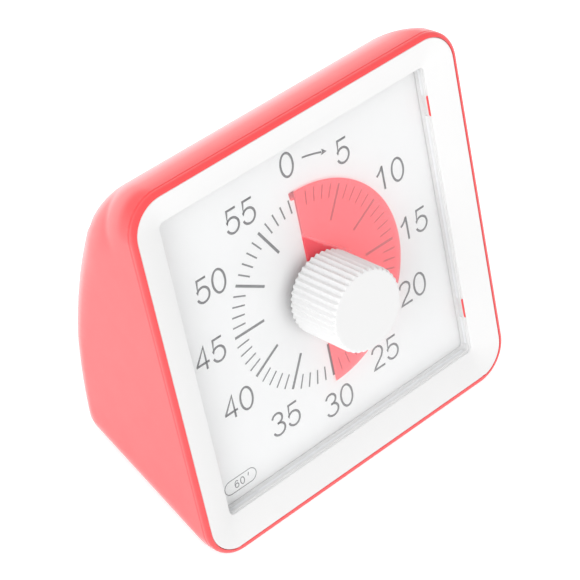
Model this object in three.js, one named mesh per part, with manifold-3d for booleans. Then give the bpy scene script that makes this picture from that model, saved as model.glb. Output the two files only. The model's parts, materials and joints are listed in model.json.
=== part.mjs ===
// A 60-minute visual countdown timer: a wedge-shaped shell whose square face leans back, a white
// bezel round a square dial, a red film disc that shows the time left, and a ribbed knob that sets it.
// Millimetres, +Z up. The face looks along -Y and upwards; the base stands on Z = 0.
import * as THREE from "three";
import { mergeVertices } from "three/addons/utils/BufferGeometryUtils.js";
import Module from "manifold-3d";

const wasm = await Module();
wasm.setup();

// ---- Driving dimensions -------------------------------------------------------------------------

const FACE_TILT = THREE.MathUtils.degToRad(29.4); // how far the face leans back from upright
const FIT = 0.3; // gap between pieces that seat on or in each other

// Bezel and shell seen from the front, as half widths of the square and its corner radii.
const BEZEL_HALF = 68;
const BEZEL_CORNER = 11.1;
const SHELL_WALL = 2.1;
const RIM_FILLET = 1.8;
const WINDOW_HALF = 57.8;
const WINDOW_CORNER = 2;
const BEZEL_SLOPE_DROP = 3.3;
const BEZEL_WALL = 2;
const BEZEL_EDGE = 0.8;
const SKIRT_DEPTH = 8;

// Side profile of the shell, measured from the centre of the face: +Y back, +Z up.
const BASE_DROP = 61.2;
const BACK_REACH = 56.4;
const BACK_BULGE_HEIGHT = 26.4;
const BACK_RADIUS = 204;
const HEEL_RADIUS = 9.4;
const FACE_OVERRUN = 20; // how far the profile runs out in front of the face before it is cut flat
// Radius of the rounded side edges, against the direction that the profile faces (degrees above back).
const EDGE_RADII = [
  [-90, 8.2],
  [-14, 8.4],
  [0, 13.3],
  [32, 17],
  [60.6, 11.5],
];

// Dial, lens and film disc: levels are distances along the face normal, negative behind the face.
const DIAL_LEVEL = -9;
const CARD_THICK = 0.8;
const CARD_CORNER = 1;
const CARD_HOLE = 4.6;
const SLIT_OFFSET = -0.8;
const SLIT_WIDTH = 0.8;
const SLIT_REACH = 37;
const NOTCH_LEFT = -3.1;
const NOTCH_REACH = 39.9;
const LENS_FRONT = -5.4;
const LENS_THICK = 1;
const LENS_HOLE = 4.2;
const LENS_TAB_LENGTH = 8;
const LENS_TAB_REACH = 1.6;
const LENS_TAB_SLACK = 0.5;
const LENS_TAB_HEIGHTS = [42.3, -40];
const FILM_RADIUS = 38.4;
const FILM_THICK = 0.4;
const FILM_LIFT = 0.4;
const SLEEVE_WALL = 1.3;

// Backing plate that clamps the card and carries the movement.
const PLATE_THICK = 1.5;
const PLATE_POCKET = 1.2; // depth of the recess behind the card, where the rear of the film turns
const PLATE_POCKET_HALF = 48;
const PLATE_EAR_HALF_HEIGHT = 26;
const PLATE_EAR_REACH = 65.6;

// Knob and its shaft.
const KNOB_RADIUS = 15;
const KNOB_RIDGES = 40;
const KNOB_RIDGE_DEPTH = 0.6;
const KNOB_FRONT = 17;
const KNOB_FRONT_FILLET = 1.2;
const KNOB_SKIN = 1.8;
const KNOB_BOSS = 4.6;
const SHAFT_RADIUS = 2.2;
const SHAFT_FRONT = 9;
const CLAMP_RADIUS = 6;

// Movement module and its gear train.
const CASE_HALF = 28;
const CASE_CORNER = 4;
const CASE_SKIN = 1.3;
const CASE_FRONT_DEPTH = 6.9;
const CASE_BACK_DEPTH = 10.7;
const BUSH_RADIUS = 4.6;
const GEAR_MODULE = 0.6;
const OUTPUT_TEETH = 48;
const THIRD_PINION_TEETH = 12;
const THIRD_WHEEL_TEETH = 36;
const SECOND_PINION_TEETH = 9;
const SECOND_WHEEL_TEETH = 28;
const ROTOR_PINION_TEETH = 7;
const THIRD_DIRECTION = THREE.MathUtils.degToRad(45);
const SECOND_DIRECTION = THREE.MathUtils.degToRad(160);
const ROTOR_DIRECTION = THREE.MathUtils.degToRad(200);
const WHEEL_THICK = 1.2;
const PINION_EXTRA = 0.2;
const ARBOR_RADIUS = 0.7;
const TRAIN_GAP = 1.4; // clear height between one level of wheels and the next
const ROTOR_RADIUS = 3;
const ROTOR_LENGTH = 2.8;
const STATOR_THICK = 1;

// Screws: case screws hold the shell to the bezel, plate screws the backing plate, movement screws
// the module.
const SCREW_COLUMN = 63.3;
const CASE_SCREW = { shank: 0.9, head: 2.1, headHeight: 1.5 };
const CASE_SCREW_ROWS = [52, -46];
const CASE_SCREW_WEB = 2.7;
const CASE_SCREW_BITE = 3.4;
const POST_RADIUS = 3.3;
const SMALL_SCREW = { shank: 0.75, head: 1.9, headHeight: 1.2 };
const PLATE_SCREW_ROWS = [20, -20];
const PLATE_SCREW_BITE = 4;
const MOVEMENT_SCREW_X = 31.5;

// Battery bay in the lower back, for one AA cell lying across the timer.
const BAY_DIRECTION = THREE.MathUtils.degToRad(-16.5);
const BAY_HALF_LENGTH = 29;
const BAY_HALF_HEIGHT = 10.5;
const BAY_DEPTH = 18.5;
const BAY_SKIN = 1.4;
const CELL_RADIUS = 7.1;
const CELL_LENGTH = 49.3;
const CELL_NUB = 2.6;
const CELL_NUB_LENGTH = 1.2;
const CONTACT_THICK = 0.5;
const SPRING_WIRE = 0.45;
const SPRING_TURNS = 4;
const DOOR_TAB_X = 18;
const DOOR_TAB_HALF = 4;
const DOOR_TAB_REACH = 2.2;
const DOOR_TAB_THICK = 1.2;
const DOOR_GROOVES = 5;

// Sound switch and buzzer, side by side where the back stands almost upright.
const PANEL_DIRECTION = THREE.MathUtils.degToRad(-3.6);
const SWITCH_X = 30;
const SWITCH_TRAVEL = 4;
const SWITCH_NUB = { halfWidth: 2.2, halfHeight: 2.2, proud: 1.1 };
const SWITCH_BODY = { halfWidth: 9, halfHeight: 4.2, depth: 5.5 };
const BUZZER_X = -30;
const BUZZER_RADIUS = 10;
const BUZZER_THICK = 3.6;
const SOUND_HOLE = 0.9;
const SOUND_RING = 4.2;

// Rubber feet, let into the base.
const FOOT_RADIUS = 6;
const FOOT_THICK = 1.2;
const FOOT_PROUD = 0.6;
const FOOT_X = 50;
const FOOT_ROWS = [-22, 22];

// ---- Sizes that follow from those ---------------------------------------------------------------

const FACE_HALF = BEZEL_HALF + FIT + SHELL_WALL;
const FACE_CORNER = BEZEL_CORNER + FIT + SHELL_WALL;
const CARD_BACK = DIAL_LEVEL - CARD_THICK;
const CARD_HALF = WINDOW_HALF + BEZEL_WALL - 0.4;
const PLATE_RIM_FRONT = CARD_BACK - FIT;
const PLATE_FRONT = PLATE_RIM_FRONT - PLATE_POCKET;
const PLATE_BACK = PLATE_FRONT - PLATE_THICK;
const LENS_BACK = LENS_FRONT - LENS_THICK;
const LENS_HALF = WINDOW_HALF - 0.4;
const KNOB_BACK = LENS_FRONT + 0.5;
const FILM_FRONT_BACK = DIAL_LEVEL + FILM_LIFT;
const FILM_FRONT_TOP = FILM_FRONT_BACK + FILM_THICK;
const FILM_REAR_TOP = CARD_BACK - FILM_LIFT;
const FILM_REAR_BACK = FILM_REAR_TOP - FILM_THICK;
const CASE_FRONT_TOP = PLATE_BACK - FIT;
const CASE_SPLIT = CASE_FRONT_TOP - CASE_FRONT_DEPTH;
const CASE_BACK_TOP = CASE_SPLIT - FIT;
const CASE_REAR = CASE_BACK_TOP - CASE_BACK_DEPTH;
const LEVEL_1 = CASE_FRONT_TOP - CASE_SKIN - 2;
const LEVEL_2 = LEVEL_1 - WHEEL_THICK - TRAIN_GAP;
const LEVEL_3 = LEVEL_2 - WHEEL_THICK - TRAIN_GAP;
const ROTOR_TOP = LEVEL_3 - WHEEL_THICK - 1.4;
const STATOR_TOP = ROTOR_TOP - 0.9;
const CASE_SCREW_SHELF = -SKIRT_DEPTH - FIT - CASE_SCREW_WEB;

// ---- Solids: joining, cutting and basic forms ---------------------------------------------------

const toSolid = (geometry) => {
  const bare = new THREE.BufferGeometry();
  bare.setAttribute("position", geometry.getAttribute("position"));
  bare.setIndex(geometry.index);
  const merged = mergeVertices(bare, 1e-4);
  return new wasm.Manifold(
    new wasm.Mesh({
      numProp: 3,
      vertProperties: new Float32Array(merged.attributes.position.array),
      triVerts: new Uint32Array(merged.index.array),
    }),
  );
};

const toGeometry = (solid) => {
  const mesh = solid.getMesh();
  const geometry = new THREE.BufferGeometry();
  geometry.setAttribute("position", new THREE.BufferAttribute(mesh.vertProperties, 3));
  geometry.setIndex(new THREE.BufferAttribute(mesh.triVerts, 1));
  geometry.computeVertexNormals();
  return geometry;
};

const join = (...parts) => toGeometry(parts.map(toSolid).reduce((a, b) => a.add(b)));
const cut = (base, ...tools) => toGeometry(tools.map(toSolid).reduce((a, b) => a.subtract(b), toSolid(base)));
const common = (...parts) => toGeometry(parts.map(toSolid).reduce((a, b) => a.intersect(b)));
const placed = (geometry, matrix) => geometry.clone().applyMatrix4(matrix);

const block = (x0, x1, y0, y1, z0, z1) =>
  new THREE.BoxGeometry(x1 - x0, y1 - y0, z1 - z0).translate((x0 + x1) / 2, (y0 + y1) / 2, (z0 + z1) / 2);

const rod = (radius, z0, z1, x = 0, y = 0, sides = 14) =>
  new THREE.CylinderGeometry(radius, radius, z1 - z0, sides)
    .rotateX(Math.PI / 2)
    .translate(x, y, (z0 + z1) / 2);

const plate = (shape, z0, z1, steps = 8) =>
  new THREE.ExtrudeGeometry(shape, {
    depth: z1 - z0,
    bevelEnabled: false,
    curveSegments: steps,
  }).translate(0, 0, z0);

// Corner points of a rounded square, anticlockwise from the right-hand side.
const squareRing = (half, corner, z, steps = 6) => {
  const points = [];
  for (let quarter = 0; quarter < 4; quarter++) {
    const turn = (quarter * Math.PI) / 2;
    const cx = (half - corner) * (Math.cos(turn) - Math.sin(turn));
    const cy = (half - corner) * (Math.sin(turn) + Math.cos(turn));
    for (let k = 0; k <= steps; k++) {
      const angle = turn + ((Math.PI / 2) * k) / steps;
      points.push(new THREE.Vector3(cx + corner * Math.cos(angle), cy + corner * Math.sin(angle), z));
    }
  }
  return points;
};

// Skins a stack of rings; an open stack is closed by a flat cap at each end, a looped one is a frame.
const skin = (rings, looped = false) => {
  const count = rings[0].length;
  const positions = rings.flat().flatMap((p) => [p.x, p.y, p.z]);
  const index = [];
  const spans = looped ? rings.length : rings.length - 1;
  for (let i = 0; i < spans; i++) {
    const low = i * count;
    const high = ((i + 1) % rings.length) * count;
    for (let j = 0; j < count; j++) {
      const next = (j + 1) % count;
      index.push(low + j, low + next, high + next, low + j, high + next, high + j);
    }
  }
  if (!looped) {
    const last = (rings.length - 1) * count;
    for (let j = 1; j < count - 1; j++) {
      index.push(0, j + 1, j, last, last + j, last + j + 1);
    }
  }
  const geometry = new THREE.BufferGeometry();
  geometry.setAttribute("position", new THREE.Float32BufferAttribute(positions, 3));
  geometry.setIndex(index);
  return geometry;
};

const squareSlab = (half, corner, z0, z1, steps) =>
  skin([squareRing(half, corner, z0, steps), squareRing(half, corner, z1, steps)]);

// A square frame from its section: [half width, level] points, outer side first and going up.
const frame = (section, corner, cornerAt, steps) =>
  skin(
    section.map(([half, z]) => squareRing(half, Math.max(corner + half - cornerAt, 0.4), z, steps)),
    true,
  );

// ---- Frames of reference -------------------------------------------------------------------------

const sin = Math.sin(FACE_TILT);
const cos = Math.cos(FACE_TILT);
// The face's own axes: x right, y up along the face, z out of it.
const faceMatrix = new THREE.Matrix4().makeRotationX(Math.PI / 2 - FACE_TILT);
const bodyFromFace = (geometry) => placed(geometry, faceMatrix);
const faceFromBody = (geometry) => placed(geometry, faceMatrix.clone().invert());

// The large arc of the back and the smaller one that turns over the top.
const topFacing = Math.PI / 2 - FACE_TILT;
const CROWN_RADIUS = (FACE_HALF - sin * BACK_REACH - cos * BACK_BULGE_HEIGHT) / (1 - sin);
const backPoint = (direction) =>
  new THREE.Vector3(
    0,
    BACK_REACH - BACK_RADIUS * (1 - Math.cos(direction)),
    BACK_BULGE_HEIGHT + BACK_RADIUS * Math.sin(direction),
  );
// Axes on the back surface: x to the left seen from the front, y up the back, z out of it.
const backMatrix = (direction) =>
  new THREE.Matrix4()
    .makeBasis(
      new THREE.Vector3(-1, 0, 0),
      new THREE.Vector3(0, -Math.sin(direction), Math.cos(direction)),
      new THREE.Vector3(0, Math.cos(direction), Math.sin(direction)),
    )
    .setPosition(backPoint(direction));
const bayMatrix = backMatrix(BAY_DIRECTION);
const panelMatrix = backMatrix(PANEL_DIRECTION);

// ---- Shell ----------------------------------------------------------------------------------------

const arcPoints = (cy, cz, radius, from, to, steps) =>
  Array.from({ length: steps + 1 }, (_, k) => {
    const facing = from + ((to - from) * k) / steps;
    return { y: cy + radius * Math.cos(facing), z: cz + radius * Math.sin(facing), facing };
  });

// The side profile as points with the direction that each faces, anticlockwise from the base's front.
const sideProfile = () => {
  const heelZ = HEEL_RADIUS - BASE_DROP;
  const heelFacing = Math.asin((heelZ - BACK_BULGE_HEIGHT) / (BACK_RADIUS - HEEL_RADIUS));
  const backY = BACK_REACH - BACK_RADIUS;
  const heelY = backY + (BACK_RADIUS - HEEL_RADIUS) * Math.cos(heelFacing);
  const crownY = BACK_REACH - CROWN_RADIUS;
  const heel = arcPoints(heelY, heelZ, HEEL_RADIUS, -Math.PI / 2, heelFacing, 5);
  const back = arcPoints(backY, BACK_BULGE_HEIGHT, BACK_RADIUS, heelFacing, 0, 7).slice(1);
  const crown = arcPoints(crownY, BACK_BULGE_HEIGHT, CROWN_RADIUS, 0, topFacing, 8).slice(1);
  const crownEnd = crown.at(-1);
  const overrun = FACE_OVERRUN + FACE_HALF;
  return [
    { y: -FACE_HALF * sin - FACE_OVERRUN, z: -BASE_DROP, facing: -Math.PI / 2 },
    ...heel,
    ...back,
    ...crown,
    { y: crownEnd.y - overrun * cos, z: crownEnd.z + overrun * sin, facing: topFacing },
  ];
};

const edgeRadius = (facing) => {
  const angle = THREE.MathUtils.radToDeg(facing);
  const after = EDGE_RADII.findIndex(([a]) => a >= angle - 1e-6);
  if (after <= 0) return EDGE_RADII.at(after < 0 ? -1 : 0)[1];
  const [a0, r0] = EDGE_RADII[after - 1];
  const [a1, r1] = EDGE_RADII[after];
  return r0 + ((r1 - r0) * (angle - a0)) / (a1 - a0);
};

// The profile swept across the width with rounded side edges, moved in by inset all round.
const softWedge = (inset, edgeSteps) => {
  const half = FACE_HALF - inset;
  const profile = sideProfile();
  const ring = (side, angle) =>
    profile.map(({ y, z, facing }) => {
      const radius = edgeRadius(facing) - inset;
      const depth = inset + radius * (1 - Math.sin(angle));
      const x = side * (half - radius + radius * Math.cos(angle));
      return new THREE.Vector3(x, y - depth * Math.cos(facing), z - depth * Math.sin(facing));
    });
  const rings = [];
  for (let k = 0; k <= edgeSteps; k++) rings.push(ring(-1, ((Math.PI / 2) * k) / edgeSteps));
  for (let k = edgeSteps; k >= 0; k--) rings.push(ring(1, ((Math.PI / 2) * k) / edgeSteps));
  return skin(rings);
};

// The block behind the face: a rounded square prism, its front edge filleted where asked.
const faceBlock = (inset, fillet, front) => {
  const half = FACE_HALF - inset;
  const corner = FACE_CORNER - inset;
  const rings = [squareRing(half, corner, -2 * FACE_HALF)];
  const steps = fillet > 0 ? 3 : 0;
  for (let k = 0; k <= steps; k++) {
    const angle = steps ? ((Math.PI / 2) * k) / steps : 0;
    const inwards = fillet * (1 - Math.cos(angle));
    rings.push(squareRing(half - inwards, corner - inwards, front - fillet * (1 - Math.sin(angle))));
  }
  return skin(rings);
};

const cavity = (inset) => common(softWedge(inset, 3), bodyFromFace(faceBlock(inset, 0, FACE_OVERRUN)));
const outerForm = () => common(softWedge(0, 5), bodyFromFace(faceBlock(0, RIM_FILLET, 0)));

const caseScrewPlaces = CASE_SCREW_ROWS.flatMap((y) => [-SCREW_COLUMN, SCREW_COLUMN].map((x) => [x, y]));
const plateScrewPlaces = PLATE_SCREW_ROWS.flatMap((y) => [-SCREW_COLUMN, SCREW_COLUMN].map((x) => [x, y]));
const movementScrewPlaces = [-MOVEMENT_SCREW_X, MOVEMENT_SCREW_X].map((x) => [x, 0]);
const footPlaces = FOOT_ROWS.flatMap((y) => [-FOOT_X, FOOT_X].map((x) => [x, y]));

const bayBox = (grow, deeper, outside) =>
  placed(
    block(
      -BAY_HALF_LENGTH - grow,
      BAY_HALF_LENGTH + grow,
      -BAY_HALF_HEIGHT - grow,
      BAY_HALF_HEIGHT + grow,
      -BAY_DEPTH - deeper,
      outside,
    ),
    bayMatrix,
  );

const doorTabSlot = (x) =>
  placed(
    block(
      x - DOOR_TAB_HALF - 0.5,
      x + DOOR_TAB_HALF + 0.5,
      -BAY_HALF_HEIGHT - DOOR_TAB_REACH - 1,
      -BAY_HALF_HEIGHT + 1,
      -SHELL_WALL - DOOR_TAB_THICK - 3.4,
      -SHELL_WALL - 0.25,
    ),
    bayMatrix,
  );

const soundHoles = () => {
  const holes = [rod(SOUND_HOLE, -2 * SHELL_WALL, 3, -BUZZER_X, 0, 8)];
  for (let k = 0; k < 6; k++) {
    const angle = (k * Math.PI) / 3;
    const x = -BUZZER_X + SOUND_RING * Math.cos(angle);
    holes.push(rod(SOUND_HOLE, -2 * SHELL_WALL, 3, x, SOUND_RING * Math.sin(angle), 8));
  }
  return holes.map((hole) => placed(hole, panelMatrix));
};

const rearShell = () => {
  const outer = outerForm();
  const walls = cut(outer, cavity(SHELL_WALL));
  const posts = caseScrewPlaces.map(([x, y]) =>
    common(bodyFromFace(rod(POST_RADIUS, -2 * FACE_HALF, -SKIRT_DEPTH - FIT, x, y)), outer),
  );
  const bayWalls = common(bayBox(BAY_SKIN, BAY_SKIN, 5), outer);
  const buzzerRing = placed(
    cut(
      rod(BUZZER_RADIUS + FIT + 1.4, -SHELL_WALL - BUZZER_THICK, -SHELL_WALL + 0.6, -BUZZER_X, 0, 20),
      rod(BUZZER_RADIUS + FIT, -SHELL_WALL - BUZZER_THICK - 1, 1, -BUZZER_X, 0, 20),
    ),
    panelMatrix,
  );
  const slotHalf = SWITCH_TRAVEL / 2 + SWITCH_NUB.halfWidth + FIT;
  const slotHeight = SWITCH_NUB.halfHeight + FIT;
  const switchSlot = placed(
    block(-SWITCH_X - slotHalf, -SWITCH_X + slotHalf, -slotHeight, slotHeight, -2 * SHELL_WALL, 3),
    panelMatrix,
  );
  const wells = caseScrewPlaces.flatMap(([x, y]) => [
    bodyFromFace(rod(CASE_SCREW.head + 0.4, -2 * FACE_HALF, CASE_SCREW_SHELF, x, y)),
    bodyFromFace(rod(CASE_SCREW.shank + FIT, CASE_SCREW_SHELF - 1, 0, x, y, 12)),
  ]);
  const footRecesses = footPlaces.map(([x, y]) =>
    rod(FOOT_RADIUS + FIT, -BASE_DROP - 1, -BASE_DROP + FOOT_THICK - FOOT_PROUD + FIT, x, y, 24),
  );
  const solid = join(walls, ...posts, bayWalls, buzzerRing);
  return cut(
    solid,
    bayBox(0, 0, 5),
    doorTabSlot(-DOOR_TAB_X),
    doorTabSlot(DOOR_TAB_X),
    switchSlot,
    ...soundHoles(),
    ...wells,
    ...footRecesses,
  );
};

// ---- Front: bezel, lens, card, film and backing plate --------------------------------------------

// One clip tab of the lens, or with slack the slot in the bezel that takes it.
const lensTab = (side, y, slack) => {
  const root = side * (LENS_HALF - 1);
  const end = side * (LENS_HALF + LENS_TAB_REACH + 3 * slack);
  return block(
    Math.min(root, end),
    Math.max(root, end),
    y - LENS_TAB_LENGTH / 2 - slack,
    y + LENS_TAB_LENGTH / 2 + slack,
    LENS_BACK - slack / 2,
    LENS_FRONT + slack / 2,
  );
};
const lensTabs = (slack) => [-1, 1].flatMap((side) => LENS_TAB_HEIGHTS.map((y) => lensTab(side, y, slack)));

const frontBezel = () => {
  const inner = WINDOW_HALF + BEZEL_WALL;
  const wallEnd = DIAL_LEVEL + FIT;
  const ring = frame(
    [
      [BEZEL_HALF, -SKIRT_DEPTH],
      [BEZEL_HALF, -BEZEL_EDGE],
      [BEZEL_HALF - 0.25, -0.25],
      [BEZEL_HALF - BEZEL_EDGE, 0],
      [WINDOW_HALF + 0.5, -BEZEL_SLOPE_DROP],
      [WINDOW_HALF, -BEZEL_SLOPE_DROP - 0.5],
      [WINDOW_HALF, wallEnd],
      [inner, wallEnd],
      [inner, -BEZEL_SLOPE_DROP - BEZEL_WALL],
      [BEZEL_HALF - BEZEL_WALL, -BEZEL_WALL - 0.6],
      [BEZEL_HALF - BEZEL_WALL, -SKIRT_DEPTH],
    ],
    WINDOW_CORNER,
    WINDOW_HALF,
    5,
  );
  const bossTop = -BEZEL_WALL - 1.2;
  const bosses = [
    ...caseScrewPlaces.map(([x, y]) => rod(POST_RADIUS - 0.3, -SKIRT_DEPTH, bossTop, x, y)),
    ...plateScrewPlaces.map(([x, y]) => rod(POST_RADIUS - 0.5, PLATE_FRONT + FIT, bossTop, x, y)),
  ];
  const pilots = [
    ...caseScrewPlaces.map(([x, y]) => rod(CASE_SCREW.shank + 0.25, -20, -BEZEL_WALL - 2.3, x, y, 12)),
    ...plateScrewPlaces.map(([x, y]) => rod(SMALL_SCREW.shank + 0.25, -20, -BEZEL_WALL - 2.3, x, y, 12)),
  ];
  const whole = cut(join(ring, ...bosses), ...pilots, ...lensTabs(LENS_TAB_SLACK));
  return common(whole, faceFromBody(cavity(SHELL_WALL + FIT)));
};

const lens = () => {
  const pane = squareSlab(LENS_HALF, WINDOW_CORNER, LENS_BACK, LENS_FRONT, 3);
  return cut(join(pane, ...lensTabs(0)), rod(LENS_HOLE, LENS_BACK - 1, LENS_FRONT + 1, 0, 0, 32));
};

const slitTools = (z0, z1) => [
  block(SLIT_OFFSET - SLIT_WIDTH / 2, SLIT_OFFSET + SLIT_WIDTH / 2, CARD_HOLE - 1.5, SLIT_REACH + 1, z0, z1),
  block(NOTCH_LEFT, SLIT_OFFSET + SLIT_WIDTH / 2, SLIT_REACH, NOTCH_REACH, z0, z1),
];

const dialCard = () =>
  cut(
    squareSlab(CARD_HALF, CARD_CORNER, CARD_BACK, DIAL_LEVEL, 2),
    rod(CARD_HOLE, CARD_BACK - 1, DIAL_LEVEL + 1, 0, 0, 32),
    ...slitTools(CARD_BACK - 1, DIAL_LEVEL + 1),
  );

// The film at rest: one half lies over the card, the other behind it, joined round the shaft.
const redDisc = () => {
  const bore = SHAFT_RADIUS + FIT;
  const half = (side, z0, z1) => {
    const shape = new THREE.Shape();
    const from = side > 0 ? -Math.PI / 2 : Math.PI / 2;
    shape.absarc(0, 0, FILM_RADIUS, from, from + Math.PI, false);
    return plate(shape, z0, z1, 28);
  };
  return cut(
    join(
      half(1, FILM_FRONT_BACK, FILM_FRONT_TOP),
      half(-1, FILM_REAR_BACK, FILM_REAR_TOP),
      rod(bore + SLEEVE_WALL, FILM_REAR_BACK, FILM_FRONT_TOP, 0, 0, 24),
    ),
    rod(bore, FILM_REAR_BACK - 1, FILM_FRONT_TOP + 1, 0, 0, 24),
  );
};

const backingPlate = () => {
  const sheet = squareSlab(CARD_HALF, CARD_CORNER, PLATE_BACK, PLATE_RIM_FRONT, 2);
  const pocket = block(
    -PLATE_POCKET_HALF,
    PLATE_POCKET_HALF,
    -PLATE_POCKET_HALF,
    PLATE_POCKET_HALF,
    PLATE_FRONT,
    PLATE_RIM_FRONT + 1,
  );
  const ears = block(
    -PLATE_EAR_REACH,
    PLATE_EAR_REACH,
    -PLATE_EAR_HALF_HEIGHT,
    PLATE_EAR_HALF_HEIGHT,
    PLATE_BACK,
    PLATE_FRONT,
  );
  return cut(
    join(cut(sheet, pocket), ears),
    rod(BUSH_RADIUS + FIT, PLATE_BACK - 1, PLATE_FRONT + 1, 0, 0, 24),
    ...[...plateScrewPlaces, ...movementScrewPlaces].map(([x, y]) =>
      rod(SMALL_SCREW.shank + FIT, PLATE_BACK - 1, PLATE_FRONT + 1, x, y, 12),
    ),
  );
};

// ---- Knob, shaft and clamp ------------------------------------------------------------------------

const knob = () => {
  const count = 2 * KNOB_RIDGES;
  // Crests and grooves in turn, cut back where the ring is narrower than the crests.
  const ring = (shrink, z) =>
    Array.from({ length: count }, (_, k) => {
      const angle = (2 * Math.PI * k) / count;
      const radius = KNOB_RADIUS - Math.max(shrink, (k % 2) * KNOB_RIDGE_DEPTH);
      return new THREE.Vector3(radius * Math.cos(angle), radius * Math.sin(angle), z);
    });
  const body = skin([
    ring(0, KNOB_BACK),
    ring(0, KNOB_FRONT - KNOB_FRONT_FILLET),
    ring(KNOB_FRONT_FILLET * 0.45, KNOB_FRONT - KNOB_FRONT_FILLET * 0.4),
    ring(KNOB_FRONT_FILLET, KNOB_FRONT),
  ]);
  const hollow = cut(
    rod(KNOB_RADIUS - KNOB_RIDGE_DEPTH - KNOB_SKIN, KNOB_BACK - 1, KNOB_FRONT - KNOB_SKIN, 0, 0, 36),
    rod(KNOB_BOSS, KNOB_BACK - 2, KNOB_FRONT, 0, 0, 24),
  );
  return cut(body, hollow, rod(SHAFT_RADIUS + FIT, KNOB_BACK - 1, SHAFT_FRONT + FIT, 0, 0, 20));
};

const outputShaft = () =>
  join(
    rod(SHAFT_RADIUS, LEVEL_1 - WHEEL_THICK - 1.2, SHAFT_FRONT),
    rod(SHAFT_RADIUS - 1, CASE_REAR + CASE_SKIN + 0.8, LEVEL_1 - WHEEL_THICK - 1, 0, 0, 16),
  );

const discClamp = () =>
  cut(
    rod(CLAMP_RADIUS, FILM_FRONT_TOP + FIT, LENS_BACK - FIT, 0, 0, 28),
    rod(SHAFT_RADIUS + FIT, FILM_FRONT_TOP - 1, LENS_BACK + 1, 0, 0, 20),
  );

// ---- Movement ---------------------------------------------------------------------------------------

const pitchRadius = (teeth) => (GEAR_MODULE * teeth) / 2;

// A spur gear with straight-sided teeth, one tooth centred on the given direction.
const gear = (teeth, toothAt, z0, z1) => {
  const tip = pitchRadius(teeth) + 0.75 * GEAR_MODULE;
  const root = pitchRadius(teeth) - 1.1 * GEAR_MODULE;
  const pitch = (2 * Math.PI) / teeth;
  const corners = [
    [root, -0.24],
    [tip, -0.09],
    [tip, 0.09],
    [root, 0.24],
  ];
  const points = [];
  for (let k = 0; k < teeth; k++) {
    for (const [radius, share] of corners) {
      const angle = toothAt + (k + share) * pitch;
      points.push(new THREE.Vector2(radius * Math.cos(angle), radius * Math.sin(angle)));
    }
  }
  return plate(new THREE.Shape(points), z0, z1);
};

const stepFrom = ([x, y], direction, distance) => [
  x + distance * Math.cos(direction),
  y + distance * Math.sin(direction),
];
const meshDistance = (a, b) => pitchRadius(a) + pitchRadius(b);
const SHAFT_AT = [0, 0];
const THIRD_AT = stepFrom(SHAFT_AT, THIRD_DIRECTION, meshDistance(OUTPUT_TEETH, THIRD_PINION_TEETH));
const SECOND_AT = stepFrom(THIRD_AT, SECOND_DIRECTION, meshDistance(THIRD_WHEEL_TEETH, SECOND_PINION_TEETH));
const ROTOR_AT = stepFrom(SECOND_AT, ROTOR_DIRECTION, meshDistance(SECOND_WHEEL_TEETH, ROTOR_PINION_TEETH));
const arbors = [THIRD_AT, SECOND_AT, ROTOR_AT];

// A tooth gap of the driven pinion faces the tooth of the wheel that drives it.
const gapTowards = (teeth, direction) => direction + Math.PI + Math.PI / teeth;

const outputWheel = () =>
  cut(
    join(
      gear(OUTPUT_TEETH, THIRD_DIRECTION, LEVEL_1 - WHEEL_THICK, LEVEL_1),
      rod(SHAFT_RADIUS + 2, LEVEL_1 - WHEEL_THICK - 0.8, LEVEL_1 + 0.8),
    ),
    rod(SHAFT_RADIUS + FIT, LEVEL_1 - 5, LEVEL_1 + 5),
  );

const wheelAndPinion = (at, pinion, wheel, front, back) =>
  join(
    gear(pinion.teeth, pinion.toothAt, pinion.level - WHEEL_THICK - PINION_EXTRA, pinion.level + PINION_EXTRA),
    gear(wheel.teeth, wheel.toothAt, wheel.level - WHEEL_THICK, wheel.level),
    rod(ARBOR_RADIUS, back, front, 0, 0, 10),
  ).translate(at[0], at[1], 0);

const arborFront = CASE_FRONT_TOP - 0.3;
const arborBack = CASE_REAR + 0.3;

const thirdWheel = () =>
  wheelAndPinion(
    THIRD_AT,
    { teeth: THIRD_PINION_TEETH, toothAt: gapTowards(THIRD_PINION_TEETH, THIRD_DIRECTION), level: LEVEL_1 },
    { teeth: THIRD_WHEEL_TEETH, toothAt: SECOND_DIRECTION, level: LEVEL_2 },
    arborFront,
    arborBack,
  );

const secondWheel = () =>
  wheelAndPinion(
    SECOND_AT,
    { teeth: SECOND_PINION_TEETH, toothAt: gapTowards(SECOND_PINION_TEETH, SECOND_DIRECTION), level: LEVEL_2 },
    { teeth: SECOND_WHEEL_TEETH, toothAt: ROTOR_DIRECTION, level: LEVEL_3 },
    arborFront,
    arborBack,
  );

const rotor = () =>
  join(
    gear(
      ROTOR_PINION_TEETH,
      gapTowards(ROTOR_PINION_TEETH, ROTOR_DIRECTION),
      LEVEL_3 - WHEEL_THICK - PINION_EXTRA,
      LEVEL_3 + PINION_EXTRA,
    ),
    rod(ROTOR_RADIUS, ROTOR_TOP - ROTOR_LENGTH, ROTOR_TOP, 0, 0, 20),
    rod(ARBOR_RADIUS, arborBack, arborFront, 0, 0, 10),
  ).translate(ROTOR_AT[0], ROTOR_AT[1], 0);

// A half of the case: a slab hollowed out between two levels, one of them outside it.
const caseTray = (z0, z1, hollowFrom, hollowTo) =>
  cut(
    squareSlab(CASE_HALF, CASE_CORNER, z0, z1, 3),
    squareSlab(CASE_HALF - CASE_SKIN, CASE_CORNER - CASE_SKIN, hollowFrom, hollowTo, 3),
  );

const pivotHoles = (z0, z1) => arbors.map(([x, y]) => rod(ARBOR_RADIUS + FIT, z0, z1, x, y, 12));

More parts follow.
